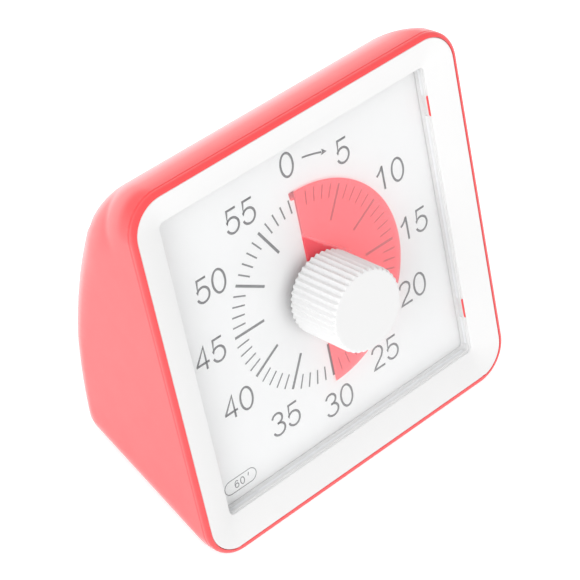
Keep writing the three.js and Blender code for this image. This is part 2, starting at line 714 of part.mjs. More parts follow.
const movementCaseFront = () => {
  const ears = block(
    -MOVEMENT_SCREW_X - 3,
    MOVEMENT_SCREW_X + 3,
    -4,
    4,
    CASE_FRONT_TOP - CASE_SKIN,
    CASE_FRONT_TOP,
  );
  return cut(
    join(
      caseTray(CASE_SPLIT, CASE_FRONT_TOP, CASE_SPLIT - 1, CASE_FRONT_TOP - CASE_SKIN),
      ears,
      rod(BUSH_RADIUS, CASE_FRONT_TOP - 0.5, PLATE_FRONT - FIT, 0, 0, 24),
    ),
    rod(SHAFT_RADIUS + FIT, CASE_FRONT_TOP - 5, PLATE_FRONT + 1),
    ...pivotHoles(CASE_FRONT_TOP - 5, CASE_FRONT_TOP + 1),
    ...movementScrewPlaces.map(([x, y]) =>
      rod(SMALL_SCREW.shank + FIT, CASE_FRONT_TOP - 5, CASE_FRONT_TOP + 1, x, y, 12),
    ),
  );
};

const movementCaseBack = () =>
  cut(
    join(
      caseTray(CASE_REAR, CASE_BACK_TOP, CASE_REAR + CASE_SKIN, CASE_BACK_TOP + 1),
      rod(SHAFT_RADIUS + 1, CASE_REAR + 0.5, LEVEL_3 - WHEEL_THICK - 2, 0, 0, 20),
    ),
    rod(SHAFT_RADIUS - 1 + FIT, CASE_REAR + CASE_SKIN + 0.4, LEVEL_3, 0, 0, 16),
    ...pivotHoles(CASE_REAR - 1, CASE_REAR + 5),
  );

// The stator is a flat iron frame: the rotor turns in its upper bar, the coil sits on its lower bar.
const STATOR = { left: -24, right: -4.6, top: 18.6, bottom: -19, arm: 3, lowerBar: 3.4, upperBarFrom: 9.2 };
const statorBarLevel = STATOR_TOP - STATOR_THICK / 2;
const stator = () =>
  cut(
    block(STATOR.left, STATOR.right, STATOR.bottom, STATOR.top, STATOR_TOP - STATOR_THICK, STATOR_TOP),
    block(
      STATOR.left + STATOR.arm,
      STATOR.right - STATOR.arm,
      STATOR.bottom + STATOR.lowerBar,
      STATOR.upperBarFrom,
      STATOR_TOP - 5,
      STATOR_TOP + 5,
    ),
    rod(ROTOR_RADIUS + 0.6, STATOR_TOP - 5, STATOR_TOP + 5, ROTOR_AT[0], ROTOR_AT[1], 24),
  );

const motorCoil = () => {
  const length = STATOR.right - STATOR.left - 2 * STATOR.arm - 2;
  const middle = (STATOR.left + STATOR.right) / 2;
  const barY = STATOR.bottom + STATOR.lowerBar / 2;
  const flange = 3.4;
  const profile = [
    [0, 0],
    [flange, 0],
    [flange, 1],
    [flange - 0.5, 1],
    [flange - 0.5, length - 1],
    [flange, length - 1],
    [flange, length],
    [0, length],
  ].map(([r, h]) => new THREE.Vector2(r, h));
  const bobbin = new THREE.LatheGeometry(profile, 20)
    .rotateZ(-Math.PI / 2)
    .translate(middle - length / 2, barY, statorBarLevel);
  const halfBar = STATOR.lowerBar / 2 + FIT;
  const halfThick = STATOR_THICK / 2 + FIT;
  return cut(
    bobbin,
    block(-40, 40, barY - halfBar, barY + halfBar, statorBarLevel - halfThick, statorBarLevel + halfThick),
  );
};

const BOARD = { left: 5, right: 25, bottom: -25, top: 5, level: CASE_REAR + CASE_SKIN + 2.2, thick: 1 };
const circuitBoard = () =>
  block(BOARD.left, BOARD.right, BOARD.bottom, BOARD.top, BOARD.level, BOARD.level + BOARD.thick);
const controllerChip = () => {
  const middleX = (BOARD.left + BOARD.right) / 2;
  const middleY = (BOARD.bottom + BOARD.top) / 2;
  const base = BOARD.level + BOARD.thick + FIT;
  const dome = [
    [0, 0],
    [4, 0],
    [3.6, 0.6],
    [2.4, 1],
    [0, 1.2],
  ].map(([r, z]) => new THREE.Vector2(r, z));
  return new THREE.LatheGeometry(dome, 16)
    .rotateX(Math.PI / 2)
    .translate(middleX, middleY, base);
};

// ---- Screws ------------------------------------------------------------------------------------------

// A pan-head screw whose head's underside is at z = 0 and whose shank points to +z.
const screw = ({ shank, head, headHeight }, length) => {
  const profile = [
    [0, -headHeight],
    [head * 0.75, -headHeight],
    [head, -headHeight * 0.55],
    [head, 0],
    [shank, 0],
    [shank, length - 0.6],
    [0, length],
  ].map(([r, z]) => new THREE.Vector2(r, z));
  const body = new THREE.LatheGeometry(profile, 12).rotateX(Math.PI / 2);
  const bar = head * 0.6;
  const slot = 0.28;
  return cut(
    body,
    block(-bar, bar, -slot, slot, -headHeight - 1, -headHeight + 0.6),
    block(-slot, slot, -bar, bar, -headHeight - 1, -headHeight + 0.6),
  );
};

// ---- Battery bay ---------------------------------------------------------------------------------------

const cellAxisDepth = -BAY_DEPTH + CELL_RADIUS + FIT + 0.5;
const cellEnd = BAY_HALF_LENGTH - FIT - CONTACT_THICK - FIT;
const cellStart = cellEnd - CELL_NUB_LENGTH - CELL_LENGTH;

const alongX = (points, sides) =>
  new THREE.LatheGeometry(
    points.map(([r, x]) => new THREE.Vector2(r, x)),
    sides,
  ).rotateZ(-Math.PI / 2);

const batteryCell = () =>
  alongX(
    [
      [0, cellStart],
      [CELL_RADIUS - 0.4, cellStart],
      [CELL_RADIUS, cellStart + 0.4],
      [CELL_RADIUS, cellEnd - CELL_NUB_LENGTH - 0.4],
      [CELL_RADIUS - 0.4, cellEnd - CELL_NUB_LENGTH],
      [CELL_NUB, cellEnd - CELL_NUB_LENGTH],
      [CELL_NUB, cellEnd],
      [0, cellEnd],
    ],
    28,
  ).translate(0, 0, cellAxisDepth);

const contactPlate = () =>
  block(
    BAY_HALF_LENGTH - FIT - CONTACT_THICK,
    BAY_HALF_LENGTH - FIT,
    -CELL_RADIUS + 0.6,
    CELL_RADIUS - 0.6,
    cellAxisDepth - CELL_RADIUS + 0.6,
    cellAxisDepth + CELL_RADIUS - 0.6,
  );

class ConicalSpiral extends THREE.Curve {
  constructor(start, end, wide, narrow, turns) {
    super();
    Object.assign(this, { start, end, wide, narrow, turns });
  }
  getPoint(t, target = new THREE.Vector3()) {
    const radius = this.wide + (this.narrow - this.wide) * t;
    const angle = 2 * Math.PI * this.turns * t;
    const x = this.start + (this.end - this.start) * t;
    return target.set(x, radius * Math.cos(angle), radius * Math.sin(angle));
  }
}

const contactSpring = () => {
  const section = new THREE.Shape();
  section.absarc(0, 0, SPRING_WIRE, 0, 2 * Math.PI, false);
  const start = -BAY_HALF_LENGTH + FIT + SPRING_WIRE;
  const end = cellStart - FIT - SPRING_WIRE;
  return new THREE.ExtrudeGeometry(section, {
    steps: SPRING_TURNS * 12,
    curveSegments: 3,
    extrudePath: new ConicalSpiral(start, end, 5.2, 2.6, SPRING_TURNS),
  }).translate(0, 0, cellAxisDepth);
};

// The door is the patch of the shell's own skin that its opening leaves, with two tabs at the bottom.
const batteryDoor = () => {
  const opening = block(
    -BAY_HALF_LENGTH + FIT,
    BAY_HALF_LENGTH - FIT,
    -BAY_HALF_HEIGHT + FIT,
    BAY_HALF_HEIGHT - FIT,
    -2 * SHELL_WALL,
    5,
  );
  const skinPatch = common(cut(outerForm(), cavity(SHELL_WALL)), placed(opening, bayMatrix));
  const patch = placed(skinPatch, bayMatrix.clone().invert());
  const tabFront = -SHELL_WALL - 0.5;
  const tabs = [-DOOR_TAB_X, DOOR_TAB_X].flatMap((x) => [
    block(
      x - DOOR_TAB_HALF,
      x + DOOR_TAB_HALF,
      -BAY_HALF_HEIGHT - DOOR_TAB_REACH,
      -BAY_HALF_HEIGHT + 3,
      tabFront - DOOR_TAB_THICK,
      tabFront,
    ),
    block(
      x - DOOR_TAB_HALF,
      x + DOOR_TAB_HALF,
      -BAY_HALF_HEIGHT + FIT,
      -BAY_HALF_HEIGHT + 3,
      tabFront - DOOR_TAB_THICK,
      -SHELL_WALL / 2,
    ),
  ]);
  const grooves = Array.from({ length: DOOR_GROOVES }, (_, k) => {
    const y = BAY_HALF_HEIGHT - 2.6 - k * 1.3;
    return block(-8, 8, y - 0.35, y + 0.35, -0.5, 5);
  });
  return cut(join(patch, ...tabs), ...grooves);
};

// ---- Sound switch, buzzer and feet ---------------------------------------------------------------------

const switchBodyTop = -SHELL_WALL - FIT;
const switchBody = () => {
  const { halfWidth, halfHeight, depth } = SWITCH_BODY;
  const slot = SWITCH_TRAVEL / 2 + SWITCH_NUB.halfWidth + FIT;
  return cut(
    block(-halfWidth, halfWidth, -halfHeight, halfHeight, switchBodyTop - depth, switchBodyTop),
    block(
      -slot,
      slot,
      -SWITCH_NUB.halfHeight - FIT,
      SWITCH_NUB.halfHeight + FIT,
      switchBodyTop - depth + 1.2,
      switchBodyTop + 1,
    ),
  ).translate(-SWITCH_X, 0, 0);
};

const switchSlider = () => {
  const { halfWidth, halfHeight, proud } = SWITCH_NUB;
  const bottom = switchBodyTop - SWITCH_BODY.depth + 1.2 + FIT;
  const grooves = [-1, 0, 1].map((k) => block(k * 1.2 - 0.25, k * 1.2 + 0.25, -5, 5, proud - 0.5, proud + 1));
  return cut(
    block(-halfWidth, halfWidth, -halfHeight, halfHeight, bottom, proud),
    ...grooves,
  ).translate(-SWITCH_X + SWITCH_TRAVEL / 2, 0, 0);
};

const buzzer = () =>
  cut(
    rod(BUZZER_RADIUS, -SHELL_WALL - 0.8 - BUZZER_THICK, -SHELL_WALL - 0.8, -BUZZER_X, 0, 32),
    rod(1.6, -SHELL_WALL - 2.4, 0, -BUZZER_X, 0, 16),
  );

const foot = () => rod(FOOT_RADIUS, 0, FOOT_THICK, 0, 0, 24);

// ---- Materials -----------------------------------------------------------------------------------------

const finish = (color, roughness, metalness = 0) =>
  new THREE.MeshStandardMaterial({ color, roughness, metalness });
const coralPlastic = finish(0xff6b6b, 0.35);
const whitePlastic = finish(0xf2f2f0, 0.4);
const knobPlastic = finish(0xf6f6f6, 0.5);
const printedCard = finish(0xf7f7f5, 0.6);
const redFilm = finish(0xf0384a, 0.4);
const greyPlastic = finish(0xc9cbcc, 0.5);
const darkPlastic = finish(0x2c2d30, 0.55);
const gearPlastic = finish(0xe9e4d4, 0.45);
const steel = finish(0xc6c8ca, 0.3, 1);
const copper = finish(0xb5673a, 0.4, 1);
const boardGreen = finish(0x2f6b45, 0.6);
const rubber = finish(0x3a3a3c, 0.9);
const cellSleeve = finish(0x4d5a66, 0.4);
const clearLens = new THREE.MeshStandardMaterial({
  color: 0xffffff,
  roughness: 0.05,
  metalness: 0,
  transparent: true,
  opacity: 0.15,
});

// ---- Assembly ------------------------------------------------------------------------------------------

const piece = (name, geometry, material, parent) => {
  const mesh = new THREE.Mesh(geometry, material);
  mesh.name = name;
  parent.add(mesh);
  return mesh;
};

const timer = new THREE.Group();
const body = new THREE.Group();
body.position.z = BASE_DROP + FOOT_PROUD;
timer.add(body);

const groupAt = (matrix) => {
  const group = new THREE.Group();
  matrix.decompose(group.position, group.quaternion, group.scale);
  body.add(group);
  return group;
};
const face = groupAt(faceMatrix);
const bay = groupAt(bayMatrix);
const panel = groupAt(panelMatrix);

piece("rear_shell", rearShell(), coralPlastic, body);
footPlaces.forEach(([x, y], k) => {
  piece(`foot_${k + 1}`, foot(), rubber, body).position.set(x, y, -BASE_DROP - FOOT_PROUD);
});

piece("front_bezel", frontBezel(), whitePlastic, face);
piece("lens", lens(), clearLens, face);
piece("dial_card", dialCard(), printedCard, face);
piece("backing_plate", backingPlate(), whitePlastic, face);
piece("red_disc", redDisc(), redFilm, face);
piece("disc_clamp", discClamp(), whitePlastic, face);
piece("knob", knob(), knobPlastic, face);
piece("output_shaft", outputShaft(), steel, face);

piece("movement_case_front", movementCaseFront(), darkPlastic, face);
piece("movement_case_back", movementCaseBack(), darkPlastic, face);
piece("output_wheel", outputWheel(), gearPlastic, face);
piece("third_wheel", thirdWheel(), gearPlastic, face);
piece("second_wheel", secondWheel(), gearPlastic, face);
piece("rotor", rotor(), steel, face);
piece("stator", stator(), steel, face);
piece("motor_coil", motorCoil(), copper, face);
piece("circuit_board", circuitBoard(), boardGreen, face);
piece("controller_chip", controllerChip(), darkPlastic, face);

caseScrewPlaces.forEach(([x, y], k) => {
  const length = CASE_SCREW_WEB + FIT + CASE_SCREW_BITE;
  const mesh = piece(`case_screw_${k + 1}`, screw(CASE_SCREW, length), steel, face);
  mesh.position.set(x, y, CASE_SCREW_SHELF - FIT);
});
plateScrewPlaces.forEach(([x, y], k) => {
  const length = PLATE_THICK + FIT + PLATE_SCREW_BITE;
  const mesh = piece(`plate_screw_${k + 1}`, screw(SMALL_SCREW, length), steel, face);
  mesh.position.set(x, y, PLATE_BACK - FIT);
});
movementScrewPlaces.forEach(([x, y], k) => {
  const length = CASE_SKIN + FIT + PLATE_THICK - 0.2;
  const mesh = piece(`movement_screw_${k + 1}`, screw(SMALL_SCREW, length), steel, face);
  mesh.position.set(x, y, CASE_FRONT_TOP - CASE_SKIN - FIT);
});

piece("battery_cell", batteryCell(), cellSleeve, bay);
piece("battery_spring", contactSpring(), steel, bay);
piece("battery_contact", contactPlate(), steel, bay);
piece("battery_door", batteryDoor(), coralPlastic, bay);
piece("sound_switch_body", switchBody(), darkPlastic, panel);
piece("sound_switch_slider", switchSlider(), darkPlastic, panel);
piece("buzzer", buzzer(), darkPlastic, panel);

// The origin stands under the middle of the outline.
const outline = new THREE.Box3().setFromObject(timer, true);
body.position.y = -(outline.min.y + outline.max.y) / 2;

export default timer;
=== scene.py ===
import json
import math

import bmesh
import bpy
import numpy as np
from mathutils import Matrix, Vector


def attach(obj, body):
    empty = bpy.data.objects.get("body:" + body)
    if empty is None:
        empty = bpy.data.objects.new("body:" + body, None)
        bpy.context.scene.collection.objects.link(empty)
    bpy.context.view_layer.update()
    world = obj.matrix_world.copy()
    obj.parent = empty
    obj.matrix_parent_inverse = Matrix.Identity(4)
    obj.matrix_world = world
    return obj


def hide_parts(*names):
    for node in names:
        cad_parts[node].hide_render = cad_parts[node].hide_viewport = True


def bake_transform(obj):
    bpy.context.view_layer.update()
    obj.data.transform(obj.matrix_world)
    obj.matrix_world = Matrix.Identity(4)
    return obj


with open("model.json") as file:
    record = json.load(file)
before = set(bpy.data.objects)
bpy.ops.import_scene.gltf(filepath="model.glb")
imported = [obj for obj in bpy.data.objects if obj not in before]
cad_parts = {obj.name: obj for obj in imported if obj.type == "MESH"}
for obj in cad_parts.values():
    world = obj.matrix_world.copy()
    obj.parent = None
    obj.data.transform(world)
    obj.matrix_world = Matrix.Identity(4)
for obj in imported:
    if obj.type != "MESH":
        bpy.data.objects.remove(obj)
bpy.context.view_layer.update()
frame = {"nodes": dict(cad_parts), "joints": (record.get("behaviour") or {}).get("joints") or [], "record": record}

# ---- Camera ----------------------------------------------
# A long lens from above and to the left of the timer, rolled a little so that the timer leans over.


def in_scene(name, data):
    """A new object with the given data, linked into the scene."""
    made = bpy.data.objects.new(name, data)
    bpy.context.scene.collection.objects.link(made)
    return made


camera_data = bpy.data.cameras.new("camera")
camera_data.lens = 146.5
camera_data.sensor_width = 36
camera = in_scene("camera", camera_data)
camera_at = Vector((-0.3932, -0.2740, 0.6889))
camera_forward = Vector((0.48825, 0.34772, -0.80044))
camera_right = Vector((0.73547, -0.65768, 0.16292))
camera_up = camera_right.cross(camera_forward)
camera.matrix_world = (
    Matrix.Translation(camera_at)
    @ Matrix((camera_right, camera_up, -camera_forward)).transposed().to_4x4()
)
bpy.context.scene.camera = camera

# ---- Shell form ------------------------------------------
# The shell is a soft wedge: a side profile of arcs swept across the width with rounded side edges, and
# cut to a rounded square along the face. The shell and the battery door are cut from this form.

MM = 0.001
knob_turn = next(j for j in frame["joints"] if j["name"] == "knob_turn")
face_centre = Vector(knob_turn["pos_m"])
face_out = -Vector(knob_turn["axis"]).normalized()
face_up = face_out.cross(Vector((1, 0, 0)))
# The face's own axes, in millimetres: x right, y up along the face, z out of it.
face = (
    Matrix.Translation(face_centre)
    @ Matrix((Vector((1, 0, 0)), face_up, face_out)).transposed().to_4x4()
    @ Matrix.Scale(MM, 4)
)
# The body's axes, in millimetres: x right, y back, z up, from the same centre.
body = Matrix.Translation(face_centre) @ Matrix.Scale(MM, 4)
lean_sin = face_up.y
lean_cos = face_up.z
lean = math.asin(lean_sin)

FACE_HALF = 70.4
FACE_CORNER = 13.5
SHELL_WALL = 2.1
FIT = 0.3
RIM_FILLET = 1.5
BASE_DROP = 61.2
BACK_REACH = 56.4
BACK_BULGE_HEIGHT = 26.4
BACK_RADIUS = 204
HEEL_RADIUS = 9.4
CROWN_RADIUS = (FACE_HALF - lean_sin * BACK_REACH - lean_cos * BACK_BULGE_HEIGHT) / (1 - lean_sin)
# Radius of the rounded side edges, against the direction that the profile faces.
EDGE_FACINGS = [-90, -14, 0, 32, 60.6]
EDGE_RADII = [8.2, 8.4, 13.3, 17, 11.5]

top_facing = math.pi / 2 - lean
heel_z = HEEL_RADIUS - BASE_DROP
heel_facing = math.asin((heel_z - BACK_BULGE_HEIGHT) / (BACK_RADIUS - HEEL_RADIUS))
back_y = BACK_REACH - BACK_RADIUS
heel_y = back_y + (BACK_RADIUS - HEEL_RADIUS) * math.cos(heel_facing)
crown_y = BACK_REACH - CROWN_RADIUS
profile_arcs = [
    (heel_y, heel_z, HEEL_RADIUS, -math.pi / 2, heel_facing),
    (back_y, BACK_BULGE_HEIGHT, BACK_RADIUS, heel_facing, 0),
    (crown_y, BACK_BULGE_HEIGHT, CROWN_RADIUS, 0, top_facing),
]


def profile_depth(y, z):
    """How deep points lie inside the side profile, and which way the nearest skin faces."""
    depths = [z + BASE_DROP, FACE_HALF - y * math.cos(top_facing) - z * math.sin(top_facing)]
    facings = [np.full_like(y, -math.pi / 2), np.full_like(y, top_facing)]
    for centre_y, centre_z, radius, low, high in profile_arcs:
        facing = np.arctan2(z - centre_z, y - centre_y)
        depth = radius - np.hypot(y - centre_y, z - centre_z)
        depths.append(np.where((facing >= low) & (facing <= high), depth, np.inf))
        facings.append(facing)
    nearest = np.argmin(depths, axis=0)[None]
    return (
        np.take_along_axis(np.array(depths), nearest, 0)[0],
        np.take_along_axis(np.array(facings), nearest, 0)[0],
    )


def in_wedge(points, inset):
    """Whether points on the face's axes lie inside the soft wedge and the rounded square."""
    x, v, w = points[..., 0], points[..., 1], points[..., 2]
    depth, facing = profile_depth(v * lean_sin - w * lean_cos, v * lean_cos + w * lean_sin)
    depth = depth - inset
    radius = np.interp(np.degrees(facing), EDGE_FACINGS, EDGE_RADII) - inset
    half = FACE_HALF - inset
    rise = radius - np.clip(depth, 0, radius)
    side = half - radius + np.sqrt(radius**2 - rise**2)
    corner = FACE_CORNER - inset
    past = np.abs(points[..., :2]) - (half - corner)
    outline = np.linalg.norm(np.maximum(past, 0), axis=-1) + np.minimum(past.max(-1), 0)
    return (depth >= 0) & (np.abs(x) <= side) & (outline <= corner)


def square_outline(half, corner, side_steps, corner_steps):
    """Points round a rounded square, anticlockwise, evenly along its sides and round its corners."""
    points = []
    for quarter in range(4):
        start = quarter * math.pi / 2
        centre = Vector((half - corner, half - corner)) @ Matrix.Rotation(-start, 2)
        for k in range(corner_steps):
            angle = start + math.pi / 2 * k / corner_steps
            points.append(centre + corner * Vector((math.cos(angle), math.sin(angle))))
        side_from = centre + corner * Vector((-math.sin(start), math.cos(start)))
        along = Vector((-math.cos(start), -math.sin(start))) * 2 * (half - corner)
        for k in range(side_steps):
            points.append(side_from + along * k / side_steps)
    return np.array(points)


def mesh_object(name, points, faces, place, sharp=35):
    """A mesh from points in millimetres on the given axes, smooth except over sharp edges."""
    mesh = bpy.data.meshes.new(name)
    mesh.from_pydata([place @ Vector(p) for p in points], [], faces)
    mesh.validate()
    mesh.shade_smooth()
    mesh.set_sharp_from_angle(angle=math.radians(sharp))
    return in_scene(name, mesh)


def ring_faces(rows, count, closed_stack=False):
    """Quads between a stack of rings of equal count, the first ring lowest seen from outside."""
    spans = rows if closed_stack else rows - 1
    return [
        (
            i * count + j,
            i * count + (j + 1) % count,
            (i + 1) % rows * count + (j + 1) % count,
            (i + 1) % rows * count + j,
        )
        for i in range(spans)
        for j in range(count)
    ]


# The wedge is found by walking out from a point well inside it, to beyond its farthest skin.
WALK_FROM = (0.0, -12.0, -34.0)
WALK_REACH = 300
WALK_HALVINGS = 32
FILLET_STEPS = 7


def wedge_form(name, inset, fillet=0.0, front=5.0, side_steps=20, corner_steps=10, rows=70):
    """The closed wedge moved in by inset, with its front edge filleted and its front at a level."""
    inside = np.array(WALK_FROM)
    half = FACE_HALF - inset
    corner = FACE_CORNER - inset
    targets = []
    fillet_steps = FILLET_STEPS if fillet else 1
    for k in range(fillet_steps + 1):
        angle = math.pi / 2 * (1 - k / fillet_steps)
        inward = fillet * (1 - math.cos(angle))
        outline = square_outline(half - inward, corner - inward, side_steps, corner_steps)
        level = front - fillet * (1 - math.sin(angle)) if fillet else front * (1 - k) - 2 * k
        targets.append(np.column_stack([outline, np.full(len(outline), level)]))
    rim = np.array(targets)
    count = rim.shape[1]
    start = rim[-1] - inside
    start = start / np.linalg.norm(start, axis=1, keepdims=True)
    pole = np.array((0.0, 0.0, -1.0))
    sweep = np.arccos(start @ pole)[None, :, None]
    share = np.linspace(0, 1, rows + 1)[1:-1, None, None]
    turned = (np.sin((1 - share) * sweep) * start + np.sin(share * sweep) * pole) / np.sin(sweep)
    last_ray = pole[None, None] * np.full((1, count, 1), WALK_REACH)
    rays = np.concatenate([rim - inside, turned * WALK_REACH, last_ray])
    low = np.zeros(rays.shape[:2] + (1,))
    high = np.ones_like(low)
    for _ in range(WALK_HALVINGS):
        middle = (low + high) / 2
        kept = in_wedge(inside + rays * middle, inset)[..., None]
        low = np.where(kept, middle, low)
        high = np.where(kept, high, middle)
    reached = np.where(in_wedge(inside + rays, inset)[..., None], 1.0, low)
    points = inside + rays * reached
    rings = points[:-1].reshape(-1, 3)
    total = len(rings)
    cap = [tuple(rim[0].mean(0)), tuple(points[-1, 0])]
    # Rings run from the front to the back, so they are wound the other way round.
    faces = [f[::-1] for f in ring_faces(len(points) - 1, count)]
    faces += [(total, j, (j + 1) % count) for j in range(count)]
    last = total - count
    faces += [(total + 1, last + (j + 1) % count, last + j) for j in range(count)]
    return mesh_object(name, list(map(tuple, rings)) + cap, faces, face)


def back_axes(direction):
    """Axes on the back skin, in millimetres: x left seen from the front, y up the back, z out of it."""
    turn = math.radians(direction)
    out = Vector((0, math.cos(turn), math.sin(turn)))
    up = Vector((0, -math.sin(turn), math.cos(turn)))
    at = Vector((0, back_y, BACK_BULGE_HEIGHT)) + out * BACK_RADIUS
    return body @ Matrix.Translation(at) @ Matrix((Vector((-1, 0, 0)), up, out)).transposed().to_4x4()


def box_form(x, y, z, place):
    """A block between pairs of limits on the given axes."""
    corners = [(x[i], y[j], z[k]) for k in (0, 1) for j in (0, 1) for i in (0, 1)]
    faces = [(0, 2, 3, 1), (4, 5, 7, 6), (0, 1, 5, 4), (2, 6, 7, 3), (0, 4, 6, 2), (1, 3, 7, 5)]
    return mesh_object("tool", corners, faces, place)


def prism_form(outline, low, high, place):
    """A solid with an outline of points, anticlockwise, between two levels on the given axes."""
    count = len(outline)
    points = [(*p, level) for level in (low, high) for p in outline]
    faces = ring_faces(2, count) + [tuple(range(count))[::-1], tuple(range(count, 2 * count))]
    return mesh_object("tool", points, faces, place)


def rod_form(radius, low, high, place, x=0.0, y=0.0, sides=48):
    """A round bar along z on the given axes."""
    turns = [2 * math.pi * k / sides for k in range(sides)]
    ring = [(x + radius * math.cos(a), y + radius * math.sin(a)) for a in turns]
    return prism_form(ring, low, high, place)


def settled(piece):
    """The piece with its modifiers worked into a plain mesh."""
    graph = bpy.context.evaluated_depsgraph_get()
    plain = bpy.data.meshes.new_from_object(piece.evaluated_get(graph))
    piece.modifiers.clear()
    piece.data = plain
    return piece


def combined(base, *steps, sharp=35):
    """base after boolean steps of (operation, tool), the tools used up."""
    for operation, tool in steps:
        modifier = base.modifiers.new("step", "BOOLEAN")
        modifier.solver = "MANIFOLD"
        modifier.operation = operation
        modifier.object = tool
        settled(base)
        bpy.data.objects.remove(tool)
    base.data.shade_smooth()
    base.data.set_sharp_from_angle(angle=math.radians(sharp))
    return base


def duplicate(original):
    """Another object with its own copy of the same mesh."""
    return in_scene(original.name, original.data.copy())


def finished(piece, name, material, carrier, node):
    """Names a piece, gives it one material, its body and slot, and hides the node it stands for."""
    piece.name = name
    piece.data.name = name
    piece.data.materials.clear()
    piece.data.materials.append(material)
    piece.data.polygons.foreach_set("material_index", [0] * len(piece.data.polygons))
    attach(piece, carrier)
    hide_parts(node)


# ---- Moulded plastics ------------------------------------
# Coral shell plastic with a satin skin, moulded in one colour. Its colour and gloss drift a little over
# the part, its skin has a fine spark grain, and its outer edges carry a painted highlight, lighter in patches.


def group_input(group, name, kind, value):
    """A named input of a node group, with the value it has until it is given another."""
    socket = group.interface.new_socket(name, in_out="INPUT", socket_type="NodeSocket" + kind)
    socket.default_value = value


def new_node(tree, kind, values=None, **settings):
    """A node with its settings made, and then values set on its inputs."""
    node = tree.nodes.new(kind)
    for key, value in settings.items():
        setattr(node, key, value)
    for key, value in (values or {}).items():
        node.inputs[key].default_value = value
    return node


def maths(tree, operation, values=None, **settings):
    """A node that works out one value."""
    return new_node(tree, "ShaderNodeMath", values, operation=operation, **settings)


def wire(tree, *links):
    """Links of a tree, each from a node and its output to a node and its input."""
    for source, output, target, entry in links:
        tree.links.new(source.outputs[output], target.inputs[entry])


moulded_skin = bpy.data.node_groups.new("moulded_skin", "ShaderNodeTree")
group_input(moulded_skin, "Colour", "Color", (1, 1, 1, 1))
group_input(moulded_skin, "Drift colour", "Color", (0.9, 0.9, 0.9, 1))
group_input(moulded_skin, "Painted highlight colour", "Color", (1, 1, 1, 1))
group_input(moulded_skin, "Roughness", "Float", 0.4)
group_input(moulded_skin, "Roughness drift", "Float", 0.12)
group_input(moulded_skin, "Grain per metre", "Float", 2600.0)
group_input(moulded_skin, "Painted highlight", "Float", 0.3)
for name, kind in (("Colour", "Color"), ("Roughness", "Float"), ("Height", "Float")):
    moulded_skin.interface.new_socket(name, in_out="OUTPUT", socket_type="NodeSocket" + kind)
tree = moulded_skin
given = new_node(tree, "NodeGroupInput")
result = new_node(tree, "NodeGroupOutput")
place = new_node(tree, "ShaderNodeTexCoord")
clouds = new_node(tree, "ShaderNodeTexNoise", {"Scale": 26, "Detail": 4})
grain = new_node(tree, "ShaderNodeTexNoise", {"Detail": 2})
smears = new_node(tree, "ShaderNodeTexNoise", {"Scale": 110, "Detail": 6})
shape = new_node(tree, "ShaderNodeNewGeometry")
# Convex edges, found by pointiness, are painted lighter in smeared patches: a painted highlight.
edges = new_node(tree, "ShaderNodeMapRange", {"From Min": 0.515, "From Max": 0.6})
edge_highlight = maths(tree, "MULTIPLY")
edge_highlight_patches = maths(tree, "MULTIPLY")
drifted = new_node(tree, "ShaderNodeMix", data_type="RGBA")
highlighted = new_node(tree, "ShaderNodeMix", data_type="RGBA")
rough_shift = maths(tree, "SUBTRACT", {1: 0.5})
rough_scaled = maths(tree, "MULTIPLY")
rough_sum = maths(tree, "ADD", use_clamp=True)
for texture in (clouds, grain, smears):
    wire(tree, (place, "Object", texture, "Vector"))
wire(
    tree,
    (given, "Grain per metre", grain, "Scale"),
    (shape, "Pointiness", edges, "Value"),
    (edges, "Result", edge_highlight, 0),
    (given, "Painted highlight", edge_highlight, 1),
    (edge_highlight, 0, edge_highlight_patches, 0),
    (smears, "Fac", edge_highlight_patches, 1),
    (clouds, "Fac", drifted, "Factor"),
    (given, "Colour", drifted, "A"),
    (given, "Drift colour", drifted, "B"),
    (edge_highlight_patches, 0, highlighted, "Factor"),
    (drifted, "Result", highlighted, "A"),
    (given, "Painted highlight colour", highlighted, "B"),
    (highlighted, "Result", result, "Colour"),
    (smears, "Fac", rough_shift, 0),
    (rough_shift, 0, rough_scaled, 0),
    (given, "Roughness drift", rough_scaled, 1),
    (rough_scaled, 0, rough_sum, 0),
    (given, "Roughness", rough_sum, 1),
    (rough_sum, 0, result, "Roughness"),
    (grain, "Fac", result, "Height"),
)


def new_material(name):
    """A material with its node tree and its main shader."""
    material = bpy.data.materials.new(name)
    material.use_nodes = True
    return material, material.node_tree, material.node_tree.nodes["Principled BSDF"]


def skin_material(
    name, colour, drift, highlight_colour, roughness, bump, grain=2600.0, painted_highlight=0.3, spread=0.12
):
    """A material with the moulded skin on it. Colours are linear red, green, blue."""
    material, tree, shader = new_material(name)
    values = {
        "Colour": (*colour, 1),
        "Drift colour": (*drift, 1),
        "Painted highlight colour": (*highlight_colour, 1),
        "Roughness": roughness,
        "Roughness drift": spread,
        "Grain per metre": grain,
        "Painted highlight": painted_highlight,
    }
    skin = new_node(tree, "ShaderNodeGroup", values, node_tree=moulded_skin)
    relief = new_node(tree, "ShaderNodeBump", {"Strength": 1, "Distance": bump})
    wire(
        tree,
        (skin, "Colour", shader, "Base Color"),
        (skin, "Roughness", shader, "Roughness"),
        (skin, "Height", relief, "Height"),
        (relief, "Normal", shader, "Normal"),
    )
    return material


def shader_values(material, values):
    """Sets values on a material's main shader."""
    for name, value in values.items():
        material.node_tree.nodes["Principled BSDF"].inputs[name].default_value = value


coral_plastic = skin_material(
    "coral_plastic", (0.93, 0.056, 0.062), (0.90, 0.05, 0.056), (0.95, 0.11, 0.115), 0.38, 0.00002
)
coral_gloss = {
    "Sheen Weight": 0.3,
    "Sheen Roughness": 0.4,
    "Sheen Tint": (1.0, 0.86, 0.88, 1),
    "Coat Weight": 0.4,
    "Coat Roughness": 0.22,
    "Subsurface Weight": 0.06,
    "Subsurface Radius": (0.004, 0.0008, 0.0008),
}
shader_values(coral_plastic, coral_gloss)
